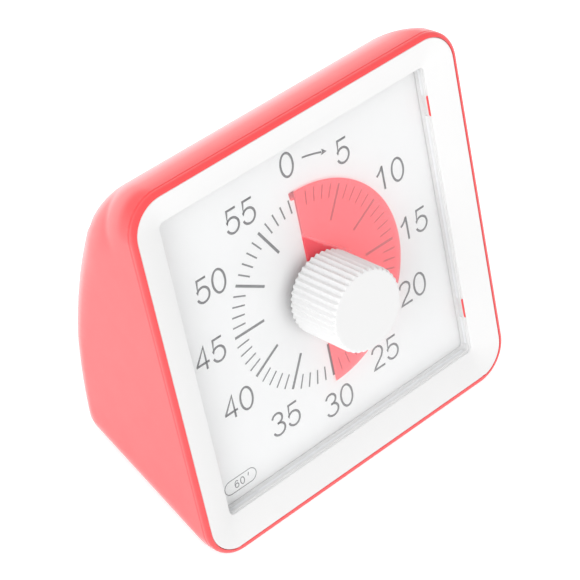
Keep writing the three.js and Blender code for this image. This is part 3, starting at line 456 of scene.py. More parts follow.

# Its base colour is painted paler, toward pink, where the skin turns away from the camera: a painted sheen.
tree = coral_plastic.node_tree
turned_away = new_node(tree, "ShaderNodeLayerWeight", {"Blend": 0.5})
painted_sheen_share = new_node(tree, "ShaderNodeMapRange", {"From Min": 0.68, "From Max": 0.97, "To Max": 0.28})
painted_sheen = new_node(tree, "ShaderNodeMix", {"B": (1.0, 0.68, 0.73, 1)}, data_type="RGBA")
wire(
    tree,
    (turned_away, "Facing", painted_sheen_share, "Value"),
    (painted_sheen_share, "Result", painted_sheen, "Factor"),
    (tree.nodes["Group"], "Colour", painted_sheen, "A"),
    (painted_sheen, "Result", tree.nodes["Principled BSDF"], "Base Color"),
)

# ---- Rear shell ------------------------------------------
# One coral moulding with a filleted rim, screw posts, a battery bay in its back, a slot for the sound
# switch, a rosette of buzzer holes, and shallow recesses for the feet.

BAY_DIRECTION = -16.5
PANEL_DIRECTION = -3.6
BAY_HALF_LENGTH = 29
BAY_HALF_HEIGHT = 10.5
BAY_DEPTH = 18.5
BAY_SKIN = 1.4
bay = back_axes(BAY_DIRECTION)
panel = back_axes(PANEL_DIRECTION)

SCREW_COLUMN = 63.3
case_screw_places = [(x, y) for y in (52, -46) for x in (-SCREW_COLUMN, SCREW_COLUMN)]
SCREW_SHELF = -11.0
SKIRT_DEPTH = 8

cut = "DIFFERENCE"
joined = "UNION"
kept_inside = "INTERSECT"
outer_form = wedge_form("outer", 0.0, RIM_FILLET, 0.0, 40, 24, 140)
cavity_form = wedge_form("cavity", SHELL_WALL)
skin_form = combined(duplicate(outer_form), (cut, cavity_form))


def bay_block(grow):
    """The battery bay's room, grown all round but for its mouth."""
    return box_form(
        (-BAY_HALF_LENGTH - grow, BAY_HALF_LENGTH + grow),
        (-BAY_HALF_HEIGHT - grow, BAY_HALF_HEIGHT + grow),
        (-BAY_DEPTH - grow, 5),
        bay,
    )


# A fine groove runs round the sides just behind the rim's fillet.
GROOVE_LEVEL = -2.2
groove_section = [(1.5, -0.5), (1.5, 0.5), (0.1, 0.35), (-0.25, 0.1), (-0.25, -0.1), (0.1, -0.6)]
groove_points = []
for outward, level in groove_section:
    ring = square_outline(FACE_HALF + outward, FACE_CORNER + outward, 4, 20)
    groove_points += [(*p, GROOVE_LEVEL + level) for p in ring]
groove_sides = len(groove_points) // len(groove_section)
groove_faces = ring_faces(len(groove_section), groove_sides, True)
groove_ring = mesh_object("tool", groove_points, groove_faces, face)

# The rim is thinner than the walls, down to where the bezel's skirt ends.
RIM_WALL = 1.6
RIM_LEAST_WALL = 0.8
rebate_outline = square_outline(FACE_HALF - RIM_WALL, FACE_CORNER - RIM_WALL, 4, 20)
rebate = combined(
    prism_form(rebate_outline, -SKIRT_DEPTH - FIT, 5, face),
    (kept_inside, wedge_form("rebate", RIM_LEAST_WALL)),
)

POST_RADIUS = 3.3
PAST_BACK = -90
BUZZER_X = 30
BUZZER_COLLAR = 11.7
BUZZER_SEAT = 10.3
BUZZER_DEPTH = 5.7
DOOR_TAB_X = 18
TAB_SLOT_HALF = 4.5
SWITCH_X = -30
SWITCH_SLOT_HALF = (4.5, 2.5)
SOUND_HOLE = 0.9
SOUND_HOLE_RING = 4.2
SCREW_HEAD_BORE = 2.5
SCREW_SHANK_BORE = 1.2
FOOT_PLACES = [(x, y) for x in (-50, 50) for y in (-22, 22)]
FOOT_RECESS_RADIUS = 6.3
FOOT_RECESS = 0.9

shell_steps = [(cut, groove_ring), (cut, rebate)]
for x, y in case_screw_places:
    post = rod_form(POST_RADIUS, PAST_BACK, -SKIRT_DEPTH - FIT, face, x, y)
    shell_steps.append((joined, combined(post, (kept_inside, duplicate(outer_form)))))
bay_walls = combined(bay_block(BAY_SKIN), (kept_inside, outer_form))
shell_steps += [
    (joined, bay_walls),
    (joined, rod_form(BUZZER_COLLAR, -BUZZER_DEPTH, -1.5, panel, BUZZER_X, 0)),
    (cut, rod_form(BUZZER_SEAT, -7, -SHELL_WALL - 0.05, panel, BUZZER_X, 0)),
    (cut, bay_block(0)),
]
for x in (-DOOR_TAB_X, DOOR_TAB_X):
    slot_y = (-BAY_HALF_HEIGHT - 3.2, -BAY_HALF_HEIGHT + 1)
    slot_x = (x - TAB_SLOT_HALF, x + TAB_SLOT_HALF)
    shell_steps.append((cut, box_form(slot_x, slot_y, (-6.7, -2.35), bay)))
across, up = SWITCH_SLOT_HALF
shell_steps.append((cut, box_form((SWITCH_X - across, SWITCH_X + across), (-up, up), (-5, 3), panel)))
sound_holes = [(BUZZER_X, 0.0)]
for k in range(6):
    turn = k * math.pi / 3
    sound_holes.append((BUZZER_X + SOUND_HOLE_RING * math.cos(turn), SOUND_HOLE_RING * math.sin(turn)))
for x, y in sound_holes:
    shell_steps.append((cut, rod_form(SOUND_HOLE, -7, 3, panel, x, y, 24)))
for x, y in case_screw_places:
    shell_steps.append((cut, rod_form(SCREW_HEAD_BORE, PAST_BACK, SCREW_SHELF, face, x, y)))
    shell_steps.append((cut, rod_form(SCREW_SHANK_BORE, SCREW_SHELF - 1, 0, face, x, y, 24)))
for x, y in FOOT_PLACES:
    recess = rod_form(FOOT_RECESS_RADIUS, -BASE_DROP - 1, -BASE_DROP + FOOT_RECESS, body, x, y)
    shell_steps.append((cut, recess))
shell = combined(duplicate(skin_form), *shell_steps)
finished(shell, "shell", coral_plastic, "housing", "rear_shell")

# ---- Battery door ----------------------------------------
# A patch of the shell's skin that fills the bay's mouth, hooked in by two tabs and pulled by its ribs.

TAB_HALF = 4
TAB_REACH = 2.2
TAB_ROOT = -BAY_HALF_HEIGHT + 3
TAB_BACK = -3.8
RIB_COUNT = 5
RIB_STEP = 1.3
RIB_HALF = (8, 0.35)
RIB_DEPTH = 0.5
door_box = box_form(
    (-BAY_HALF_LENGTH + FIT, BAY_HALF_LENGTH - FIT),
    (-BAY_HALF_HEIGHT + FIT, BAY_HALF_HEIGHT - FIT),
    (-4.2, 5),
    bay,
)
door_steps = [(kept_inside, skin_form)]
for x in (-DOOR_TAB_X, DOOR_TAB_X):
    tab_x = (x - TAB_HALF, x + TAB_HALF)
    door_steps += [
        (joined, box_form(tab_x, (-BAY_HALF_HEIGHT - TAB_REACH, TAB_ROOT), (TAB_BACK, -2.6), bay)),
        (joined, box_form(tab_x, (-BAY_HALF_HEIGHT + FIT, TAB_ROOT), (TAB_BACK, -1.05), bay)),
    ]
for k in range(RIB_COUNT):
    rib_y = BAY_HALF_HEIGHT - 2 * RIB_STEP - RIB_STEP * k
    rib_span = (rib_y - RIB_HALF[1], rib_y + RIB_HALF[1])
    door_steps.append((cut, box_form((-RIB_HALF[0], RIB_HALF[0]), rib_span, (-RIB_DEPTH, 5), bay)))
door = combined(door_box, *door_steps)
finished(door, "battery_door_cover", coral_plastic, "battery_door", "battery_door")

# ---- Bezel -----------------------------------------------
# A white moulded frame that drops into the shell's rim. Its face slopes in to the window, and a shallow
# channel runs round its inner wall. Screws from the back hold it.

white_plastic = skin_material(
    "white_plastic",
    (0.815, 0.815, 0.813),
    (0.80, 0.80, 0.80),
    (0.84, 0.84, 0.835),
    0.42,
    0.000012,
    painted_highlight=0.15,
)
RIM_GAP = 0.15
BEZEL_HALF = FACE_HALF - RIM_WALL - RIM_GAP
WINDOW_HALF = 57.8
WINDOW_CORNER = 2
SLOPE_DROP = 3.3
DIAL_LEVEL = -9
CHANNEL_LEVEL = -4.2
CHANNEL_HALF = 0.6
CHANNEL_DEPTH = 0.3
BEZEL_WALL = 2


def rounded(section, radius, steps=4):
    """A closed section of (half width, level, radius share) with its corners rounded."""
    points = []
    for i, (half, level, share) in enumerate(section):
        before = Vector(section[i - 1][:2])
        after = Vector(section[(i + 1) % len(section)][:2])
        corner = Vector((half, level))
        reach = radius * share
        if not reach:
            points.append((half, level))
            continue
        start = corner + (before - corner).normalized() * reach
        end = corner + (after - corner).normalized() * reach
        for k in range(steps + 1):
            t = k / steps
            points.append(tuple(start * (1 - t) ** 2 + corner * 2 * t * (1 - t) + end * t**2))
    return points


bezel_section = rounded(
    [
        (BEZEL_HALF, -SKIRT_DEPTH, 0),
        (BEZEL_HALF, 0, 0.7),
        (WINDOW_HALF, -SLOPE_DROP, 0.4),
        (WINDOW_HALF, CHANNEL_LEVEL + CHANNEL_HALF, 0),
        (WINDOW_HALF + CHANNEL_DEPTH, CHANNEL_LEVEL + CHANNEL_HALF - 0.1, 0),
        (WINDOW_HALF + CHANNEL_DEPTH, CHANNEL_LEVEL - CHANNEL_HALF + 0.1, 0),
        (WINDOW_HALF, CHANNEL_LEVEL - CHANNEL_HALF, 0),
        (WINDOW_HALF, DIAL_LEVEL + FIT, 0),
        (WINDOW_HALF + BEZEL_WALL, DIAL_LEVEL + FIT, 0),
        (WINDOW_HALF + BEZEL_WALL, -SLOPE_DROP - BEZEL_WALL, 0),
        (BEZEL_HALF - BEZEL_WALL, -2.6, 0),
        (BEZEL_HALF - BEZEL_WALL, -SKIRT_DEPTH, 0),
    ],
    0.8,
)
bezel_rings = []
corner_growth = (FACE_CORNER - RIM_WALL - RIM_GAP - WINDOW_CORNER) / (BEZEL_HALF - WINDOW_HALF)
for half, level in bezel_section:
    ring = square_outline(half, WINDOW_CORNER + (half - WINDOW_HALF) * corner_growth, 8, 14)
    bezel_rings += [(*p, level) for p in ring]
ring_count = len(bezel_section)
bezel_faces = ring_faces(ring_count, len(bezel_rings) // ring_count, True)
bezel = mesh_object("bezel", bezel_rings, bezel_faces, face)
BOSS_RADIUS = 3
THREAD_BORE = 1.15
bosses = [rod_form(BOSS_RADIUS, -SKIRT_DEPTH, -3.2, face, x, y) for x, y in case_screw_places]
bores = [rod_form(THREAD_BORE, -20, -4.3, face, x, y, 24) for x, y in case_screw_places]
bezel_steps = [(joined, boss) for boss in bosses] + [(cut, bore) for bore in bores]
bezel_steps.append((kept_inside, wedge_form("trim", RIM_LEAST_WALL + RIM_GAP)))
bezel = combined(bezel, *bezel_steps)
finished(bezel, "bezel", white_plastic, "housing", "front_bezel")

# Four catches of the shell's coral plastic show in the channel along the window's sides.
CATCH_DEPTH = 0.28
CATCH_HALF = 0.45
catch_section = [
    (CATCH_DEPTH, -CATCH_HALF),
    (CATCH_DEPTH, CATCH_HALF),
    (0.0, CATCH_HALF),
    (-0.2, 0.28),
    (-CATCH_DEPTH, 0.0),
    (-0.2, -0.28),
    (0.0, -CATCH_HALF),
]
# Places along a catch, and the share of its full section there.
catch_stations = [(-3.9, 0.5), (-3.6, 0.9), (-3.2, 1.0), (3.2, 1.0), (3.6, 0.9), (3.9, 0.5)]
catch_heights = (42.3, -40)
catch_points, catch_faces = [], []
for side in (-1, 1):
    for y in catch_heights:
        first = len(catch_points)
        for along, share in catch_stations:
            for outward, rise in catch_section:
                across = WINDOW_HALF + CATCH_DEPTH - (CATCH_DEPTH - outward) * share
                catch_points.append((side * across, y + along, CHANNEL_LEVEL + rise * share))
        count = len(catch_section)
        last = (len(catch_stations) - 1) * count
        catch = ring_faces(len(catch_stations), count)
        catch += [tuple(range(count))[::-1], tuple(range(last, last + count))]
        catch_faces += [tuple(first + i for i in (f if side > 0 else f[::-1])) for f in catch]
catches = mesh_object("bezel_catches", catch_points, catch_faces, face)
catches.data.materials.append(coral_plastic)
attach(catches, "housing")

# ---- Lens ------------------------------------------------
# A clear sheet clipped into the bezel. It hardly shows from the front and mirrors at a low angle.

clear_sheet, tree, shader = new_material("clear_sheet")
shader_values(clear_sheet, {"Base Color": (0.95, 0.96, 0.97, 1), "IOR": 1.45})
sheen = new_node(tree, "ShaderNodeFresnel", {"IOR": 1.25})
dust_place = new_node(tree, "ShaderNodeTexCoord")
dust = new_node(tree, "ShaderNodeTexNoise", {"Scale": 40, "Detail": 3})
dust_amount = new_node(tree, "ShaderNodeMapRange", {"From Min": 0.45, "From Max": 0.8, "To Max": 0.012})
dust_rough = new_node(tree, "ShaderNodeMapRange", {"To Min": 0.03, "To Max": 0.12})
cover = maths(tree, "ADD", use_clamp=True)
wire(
    tree,
    (dust_place, "Object", dust, "Vector"),
    (dust, "Fac", dust_amount, "Value"),
    (dust, "Fac", dust_rough, "Value"),
    (sheen, 0, cover, 0),
    (dust_amount, "Result", cover, 1),
    (cover, 0, shader, "Alpha"),
    (dust_rough, "Result", shader, "Roughness"),
)


def let_light_by(tree, surface, tint):
    """Puts a surface out as the material, but lets lamp light through it, tinted."""
    rays = new_node(tree, "ShaderNodeLightPath")
    open_gap = new_node(tree, "ShaderNodeBsdfTransparent", {"Color": tint})
    lit_through = new_node(tree, "ShaderNodeMixShader")
    wire(
        tree,
        (rays, "Is Shadow Ray", lit_through, "Fac"),
        (surface, 0, lit_through, 1),
        (open_gap, 0, lit_through, 2),
        (lit_through, 0, tree.nodes["Material Output"], "Surface"),
    )


# The sheet casts no shadow on the card.
let_light_by(tree, shader, (1, 1, 1, 1))


def coat(node, material):
    """Gives a CAD node that is shown as it is its material."""
    mesh = frame["nodes"][node].data
    mesh.materials.clear()
    mesh.materials.append(material)


coat("lens", clear_sheet)

# ---- Dial card -------------------------------------------
# A smooth white printed card with a slit for the film. Its fibres barely show under the varnish.

PAPER_GRAIN = 5200.0
card_stock = skin_material(
    "card_stock",
    (0.955, 0.955, 0.955),
    (0.945, 0.945, 0.943),
    (0.955, 0.955, 0.955),
    0.55,
    0.000006,
    PAPER_GRAIN,
    0.0,
)
card_copy = duplicate(frame["nodes"]["dial_card"])
card_mesh = bmesh.new()
card_mesh.from_mesh(card_copy.data)
bmesh.ops.remove_doubles(card_mesh, verts=card_mesh.verts, dist=1e-6)
card_mesh.to_mesh(card_copy.data)
card_mesh.free()
# The slit widens to a notch at its outer end, where the film's edge dips.
CARD_THICK = 0.8
NOTCH_X = (-3.0, -0.4)
NOTCH_Y = (35.8, 38.3)
patch = box_form((-3.3, -0.2), (NOTCH_Y[1], 40.2), (DIAL_LEVEL - CARD_THICK, DIAL_LEVEL), face)
notch = box_form(NOTCH_X, NOTCH_Y, (DIAL_LEVEL - 3, DIAL_LEVEL + 3), face)
card = combined(card_copy, (joined, patch), (cut, notch))
card.data.shade_flat()
finished(card, "printed_dial", card_stock, "housing", "dial_card")

# ---- Printed ink -----------------------------------------
# The dial's grey print: ticks round the film, thin numerals, an arrow from zero towards five, and an
# outlined badge. The ink stands a few hundredths of a millimetre proud of the card.

grey_ink = skin_material(
    "grey_ink",
    (0.20, 0.20, 0.205),
    (0.26, 0.26, 0.265),
    (0.25, 0.25, 0.25),
    0.6,
    0.000004,
    PAPER_GRAIN,
    0.0,
)
INK_LEVEL = DIAL_LEVEL + 0.03
INK_THICK = 0.02


def tick_tree():
    """Geometry nodes for a ring of upright bars, leaving out every nth one when asked."""
    tree = bpy.data.node_groups.new("tick_ring", "GeometryNodeTree")
    tree.interface.new_socket("Geometry", in_out="INPUT", socket_type="NodeSocketGeometry")
    for name, kind, value in (
        ("Count", "Int", 60),
        ("Skipped step", "Int", 61),
        ("Inner radius", "Float", 0.03),
        ("Outer radius", "Float", 0.036),
        ("Width", "Float", 0.0003),
        ("Thickness", "Float", 0.00002),
    ):
        group_input(tree, name, kind, value)
    tree.interface.new_socket("Ink", in_out="INPUT", socket_type="NodeSocketMaterial")
    tree.interface.new_socket("Geometry", in_out="OUTPUT", socket_type="NodeSocketGeometry")
    given = new_node(tree, "NodeGroupInput")
    result = new_node(tree, "NodeGroupOutput")
    length = maths(tree, "SUBTRACT")
    reach = maths(tree, "ADD")
    middle = maths(tree, "MULTIPLY", {1: 0.5})
    size = new_node(tree, "ShaderNodeCombineXYZ")
    shift = new_node(tree, "ShaderNodeCombineXYZ")
    bar = new_node(tree, "GeometryNodeMeshCube")
    moved = new_node(tree, "GeometryNodeTransform")
    line = new_node(tree, "GeometryNodeMeshLine", {"Offset": (0, 0, 0)})
    index = new_node(tree, "GeometryNodeInputIndex")
    step = maths(tree, "DIVIDE", {0: -2 * math.pi})
    angle = maths(tree, "MULTIPLY")
    turned = new_node(tree, "ShaderNodeCombineXYZ")
    rest = maths(tree, "MODULO")
    kept = maths(tree, "GREATER_THAN", {1: 0.5})
    copies = new_node(tree, "GeometryNodeInstanceOnPoints")
    real = new_node(tree, "GeometryNodeRealizeInstances")
    inked = new_node(tree, "GeometryNodeSetMaterial")
    wire(
        tree,
        (given, "Outer radius", length, 0),
        (given, "Inner radius", length, 1),
        (given, "Outer radius", reach, 0),
        (given, "Inner radius", reach, 1),
        (reach, 0, middle, 0),
        (given, "Width", size, "X"),
        (length, 0, size, "Y"),
        (given, "Thickness", size, "Z"),
        (size, 0, bar, "Size"),
        (middle, 0, shift, "Y"),
        (bar, "Mesh", moved, "Geometry"),
        (shift, 0, moved, "Translation"),
        (given, "Count", line, "Count"),
        (given, "Count", step, 1),
        (index, 0, angle, 0),
        (step, 0, angle, 1),
        (angle, 0, turned, "Z"),
        (index, 0, rest, 0),
        (given, "Skipped step", rest, 1),
        (rest, 0, kept, 0),
        (line, "Mesh", copies, "Points"),
        (moved, "Geometry", copies, "Instance"),
        (turned, 0, copies, "Rotation"),
        (kept, 0, copies, "Selection"),
        (copies, "Instances", real, "Geometry"),
        (real, "Geometry", inked, "Geometry"),
        (given, "Ink", inked, "Material"),
        (inked, "Geometry", result, "Geometry"),
    )
    return tree


def from_tree(name, tree, values, place):
    """Runs a geometry node tree with named inputs and leaves its result as a plain mesh in place."""
    holder = in_scene(name, bpy.data.meshes.new(name))
    modifier = holder.modifiers.new("made", "NODES")
    modifier.node_group = tree
    sockets = {s.name: s.identifier for s in tree.interface.items_tree if s.in_out == "INPUT"}
    for key, value in values.items():
        modifier[sockets[key]] = value
    settled(holder).data.transform(place)
    return holder


# The tree works in metres, so it is placed on the face's axes without their millimetre scale.
dial_place = face @ Matrix.Translation((0, 0, INK_LEVEL)) @ Matrix.Scale(1 / MM, 4)
tick_ring = tick_tree()
tick_rows = {
    "five_minute_ticks": (12, 12, 0.0233, 0.0362, 0.001),
    "minute_ticks": (60, 5, 0.031, 0.0363, 0.00058),
}
for name, (count, skipped, inner, outer, width) in tick_rows.items():
    tick_values = {
        "Count": count,
        "Skipped step": skipped,
        "Inner radius": inner,
        "Outer radius": outer,
        "Width": width,
        "Thickness": INK_THICK * MM,
        "Ink": grey_ink,
    }
    ticks = from_tree(name, tick_ring, tick_values, dial_place)
    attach(ticks, "housing")


def arc(centre, radii, start, end, steps=14):
    """Points along an ellipse's arc, angles in degrees."""
    turns = [math.radians(start + (end - start) * k / steps) for k in range(steps + 1)]
    return [(centre[0] + radii[0] * math.cos(a), centre[1] + radii[1] * math.sin(a)) for a in turns]


# Centre lines of the strokes of each figure, in a box one wide and one high.
FIGURES = {
    "0": [arc((0.5, 0.5), (0.5, 0.5), 90, 450, 36)],
    "1": [[(0.02, 0.7), (0.2, 0.77), (0.4, 0.88), (0.53, 1.0), (0.56, 1.0), (0.56, 0.0)]],
    "2": [
        arc((0.5, 0.73), (0.46, 0.27), 172, -28, 16)
        + [(0.8, 0.48), (0.6, 0.36), (0.35, 0.23), (0.14, 0.1), (0.04, 0.0), (1.0, 0.0)]
    ],
    "3": [
        arc((0.48, 0.765), (0.42, 0.235), 165, -80, 16) + [(0.42, 0.53)],
        [(0.42, 0.53)] + arc((0.48, 0.27), (0.5, 0.27), 88, -165, 18),
    ],
    "4": [[(0.74, 0.0), (0.74, 1.0), (0.0, 0.33), (0.0, 0.3), (1.0, 0.3)]],
    "5": [
        [(0.92, 1.0), (0.2, 1.0), (0.08, 0.5)] + arc((0.47, 0.325), (0.5, 0.325), 142, -162, 20),
    ],
    "6": [
        arc((0.52, 0.31), (0.46, 0.31), 0, 360, 28),
        arc((0.56, 0.5), (0.52, 0.5), 42, 200, 16),
    ],
}
FIGURE_HEIGHT = 9.45
FIGURE_WIDTH = 6.0
FIGURE_STEP = 6.9
STROKE = 0.84


def stroke_mesh(points, width, level, closed=False):
    """A flat ribbon of the given width along points, as vertices and faces."""
    path = [Vector(p) for p in points]
    if closed:
        path = path[:-1]
    rims = []
    for i, point in enumerate(path):
        before = path[i - 1] if closed or i else None
        after = path[(i + 1) % len(path)] if closed or i < len(path) - 1 else None
        into = (point - before).normalized() if before is not None else None
        out = (after - point).normalized() if after is not None else None
        along = (into or out) + (out or into)
        along = along.normalized() if along.length > 0.2 else (out or into)
        normal = Vector((-along.y, along.x))
        reach = width / 2 / max(abs(normal.dot(Vector((-(out or into).y, (out or into).x)))), 0.55)
        rims.append((point + normal * reach, point - normal * reach))
    vertices = [(*p, level) for pair in rims for p in pair]
    spans = len(path) if closed else len(path) - 1
    faces = []
    for i in range(spans):
        a, b = 2 * i, 2 * ((i + 1) % len(path))
        faces.append((a + 1, b + 1, b, a))
    return vertices, faces


def inked(made):
    """Gives flat print its thickness and its ink, on the card."""
    thicken = made.modifiers.new("ink", "SOLIDIFY")
    thicken.thickness = INK_THICK * MM
    thicken.offset = -1
    made.data.materials.append(grey_ink)
    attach(made, "housing")


def print_mesh(name, strokes):
    """One piece of ink from many strokes of (points, width, closed)."""
    vertices, faces = [], []
    for points, width, closed in strokes:
        new_vertices, new_faces = stroke_mesh(points, width, INK_LEVEL, closed)
        first = len(vertices)
        vertices += new_vertices
        faces += [tuple(first + i for i in f) for f in new_faces]
    inked(mesh_object(name, vertices, faces, face))


def figure_strokes(text, x, y, height, width, step, stroke):
    """Strokes of a number centred on a point of the dial."""
    inner_width = width - stroke
    inner_height = height - stroke
    left = x - (step * (len(text) - 1) + inner_width) / 2
    strokes = []
    for k, figure in enumerate(text):
        for line in FIGURES[figure]:
            near = left + step * k
            low = y - inner_height / 2
            placed = [(near + inner_width * u, low + inner_height * v) for u, v in line]
            closed = figure == "0" or (figure == "6" and line is FIGURES["6"][0])
            strokes.append((placed, stroke, closed))
    return strokes


NUMBER_RADIUS = 46.9
number_centres = {}
for minute in range(0, 60, 5):
    turn = math.radians(minute * 6)
    number_centres[minute] = (NUMBER_RADIUS * math.sin(turn), NUMBER_RADIUS * math.cos(turn))
# Zero and five stand apart from the ring to leave room for the arrow, and ten and fifteen lean in.
number_centres[0] = (-1.35, 48.4)
number_centres[5] = (22.15, 41.7)
for minute in (10, 15):
    number_centres[minute] = (number_centres[minute][0] - 0.5, number_centres[minute][1])
for minute, (x, y) in number_centres.items():
    print_mesh(
        f"number_{minute}",
        figure_strokes(str(minute), x, y, FIGURE_HEIGHT, FIGURE_WIDTH, FIGURE_STEP, STROKE),
    )

# The arrow bows up a little between zero and five, with a solid head.
ARROW_FROM = (5.2, 47.8)
ARROW_RUN = (8.2, -2.1)
ARROW_BOW = 0.7
ARROW_STROKE = 0.66
HEAD_HALF = 1.15
HEAD_LENGTH = 2.4
HEAD_NOTCH = 0.3
arrow_line = []
for k in range(9):
    t = k / 8
    arrow_y = ARROW_FROM[1] + ARROW_RUN[1] * t + ARROW_BOW * t * (1 - t)
    arrow_line.append((ARROW_FROM[0] + ARROW_RUN[0] * t, arrow_y))
print_mesh("arrow", [(arrow_line, ARROW_STROKE, False)])
head_at = Vector(arrow_line[-1])
head_along = (head_at - Vector(arrow_line[-3])).normalized()
head_side = Vector((-head_along.y, head_along.x))
head_outline = [
    head_at - head_side * HEAD_HALF,
    head_at + head_along * HEAD_LENGTH,
    head_at + head_side * HEAD_HALF,
    head_at + head_along * HEAD_NOTCH,
]
head_points = [(*p, INK_LEVEL) for p in head_outline]
inked(mesh_object("arrow_head", head_points, [(0, 1, 3), (3, 1, 2)], face))

# The badge is a rounded outline with the dial's range in small figures and a prime mark.
BADGE_X, BADGE_Y = -47.2, -52.2
BADGE_HALF = (7.0, 2.6)
badge_end = BADGE_HALF[0] - BADGE_HALF[1]
badge_round = (BADGE_HALF[1], BADGE_HALF[1])
badge_outline = arc((BADGE_X + badge_end, BADGE_Y), badge_round, -90, 90, 12)
badge_outline += arc((BADGE_X - badge_end, BADGE_Y), badge_round, 90, 270, 12)
badge_outline.append(badge_outline[0])
prime_mark = [(BADGE_X + 3.9, BADGE_Y + 1.6), (BADGE_X + 3.5, BADGE_Y + 0.4)]
badge_strokes = [(badge_outline, 0.3, True), (prime_mark, 0.35, False)]
badge_strokes += figure_strokes("60", BADGE_X - 0.4, BADGE_Y, 3.0, 2.0, 2.6, 0.34)
print_mesh("badge", badge_strokes)

# ---- Film ------------------------------------------------
# One thin red film glued round the shaft's sleeve. It lies over the card from zero to the set time,
# dips through the slit, and goes on behind the card, so the red sector is the time left.

FILM_RADIUS = 38.4
FILM_INNER = 3.6
FILM_FRONT = -8.35
FILM_REAR = -10.4
FILM_THICK = 0.2
SLIT_X = -1.35
SLIT_TURN = 1.2
SLIT_SOFTNESS = 0.2
NOTCH_INNER = 35.6
NOTCH_LEFT = -2.9
NOTCH_TURN = 0.09
RING_REACH = 35.7
RING_COUNT = 29
SECTOR_STEPS = 120
# The film is darker and denser in a corner below a line down to the right from the slit.
DARK_CORNER_FROM = (-0.9, 21.5)
DARK_CORNER_SLOPE = 0.92
DARK_CORNER_TURN = 1.3
# Distances from the slit, close together where the film dips.
near_slit = [0.0, 0.08, 0.16, 0.24, 0.32, 0.42, 0.6, 1.0, 1.7, 2.6]
film_radii = [FILM_INNER + (RING_REACH - FILM_INNER) * k / RING_COUNT for k in range(RING_COUNT)]
film_radii += [RING_REACH - 0.2, RING_REACH, 36.9, FILM_RADIUS]
film_points, film_share, film_dark_corner = [], [], []
for radius in film_radii:
    steps = [(math.asin(s / radius), s) for s in near_slit]
    last = steps[-1][0]
    steps += [(last + (math.pi - last) * k / SECTOR_STEPS, None) for k in range(1, SECTOR_STEPS + 1)]
    signed = [(-a, s if s is None else -s) for a, s in steps[:0:-1]] + steps
    for angle, across in signed:
        near = max(0.0, 1 - abs(angle) / SLIT_TURN)
        x = radius * math.sin(angle) + SLIT_X * near**2
        if radius > NOTCH_INNER:
            x += (NOTCH_LEFT - SLIT_X) * max(0.0, 1 - abs(angle) / NOTCH_TURN)
        y = radius * math.cos(angle)
        side = 1.0 if across is None and angle > 0 else -1.0
        if across is not None:
            side = math.tanh(across / SLIT_SOFTNESS)
        level = (FILM_FRONT + FILM_REAR) / 2 + side * (FILM_FRONT - FILM_REAR) / 2
        film_points.append((x, y, level))
        film_share.append(abs(angle) / math.pi)
        below = DARK_CORNER_FROM[1] - y - DARK_CORNER_SLOPE * (x - DARK_CORNER_FROM[0])
        film_dark_corner.append(max(0.0, min(1.0, below)) if 0 < angle < DARK_CORNER_TURN else 0.0)
film_count = len(film_points) // len(film_radii)
film_faces = []
for i in range(len(film_radii) - 1):
    for j in range(film_count - 1):
        a = i * film_count + j
        b = a + film_count
        film_faces.append((b, b + 1, a + 1, a))
film = mesh_object("film", film_points, film_faces, face, 180)
for name, values in (("turn_share", film_share), ("dark_corner", film_dark_corner)):
    attribute = film.data.attributes.new(name, "FLOAT", "POINT")
    attribute.data.foreach_set("value", values)
thicken = film.modifiers.new("film", "SOLIDIFY")
thicken.thickness = FILM_THICK * MM
thicken.offset = 0
settled(film)

red_film, tree, shader = new_material("red_film")
dark_corner = new_node(tree, "ShaderNodeAttribute", attribute_name="dark_corner")
film_place = new_node(tree, "ShaderNodeTexCoord")
film_clouds = new_node(tree, "ShaderNodeTexNoise", {"Scale": 60, "Detail": 5})
film_tone = new_node(
    tree, "ShaderNodeMix", {"A": (0.97, 0.52, 0.58, 1), "B": (0.95, 0.48, 0.54, 1)}, data_type="RGBA"
)
film_dark = new_node(tree, "ShaderNodeMix", {"B": (0.78, 0.035, 0.06, 1)}, data_type="RGBA")
film_rough = new_node(tree, "ShaderNodeMapRange", {"To Min": 0.36, "To Max": 0.5})
wire(
    tree,
    (film_place, "Object", film_clouds, "Vector"),
    (film_clouds, "Fac", film_tone, "Factor"),
    (film_tone, "Result", film_dark, "A"),
    (dark_corner, "Fac", film_dark, "Factor"),
    (film_dark, "Result", shader, "Base Color"),
)
# The film is given a weak glow in its own colour, painted light that brightens it, with a weaker, darker glow in
# its darker corner.
film_painted_glow = new_node(
    tree, "ShaderNodeMix", {"A": (1.0, 0.45, 0.47, 1), "B": (0.46, 0.035, 0.06, 1)}, data_type="RGBA"
)
shader_values(red_film, {"Emission Strength": 0.45})
wire(
    tree,
    (dark_corner, "Fac", film_painted_glow, "Factor"),
    (film_painted_glow, "Result", shader, "Emission Color"),
    (film_clouds, "Fac", film_rough, "Value"),
    (film_rough, "Result", shader, "Roughness"),
)
tinted_gap = new_node(tree, "ShaderNodeBsdfTransparent", {"Color": (1.0, 0.52, 0.54, 1)})
film_cover = new_node(tree, "ShaderNodeMapRange", {"To Min": 0.18, "To Max": 0.75})
wire(tree, (dark_corner, "Fac", film_cover, "Value"))
see_through = new_node(tree, "ShaderNodeMixShader")
wire(
    tree,
    (film_cover, "Result", see_through, "Fac"),
    (tinted_gap, 0, see_through, 1),
    (shader, 0, see_through, 2),
)
# The film hardly shades what lies under it.
let_light_by(tree, see_through, (1.0, 0.9, 0.9, 1))
film.data.materials.append(red_film)
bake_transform(film)
share = np.zeros(len(film.data.vertices), np.float32)
film.data.attributes["turn_share"].data.foreach_get("value", share)
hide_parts("red_disc")

# ---- Knob ------------------------------------------------
# A white satin moulding, hollow behind, with forty rounded ridges for grip and a flat front with a
# small fillet. It is pressed on the shaft in front of the lens.

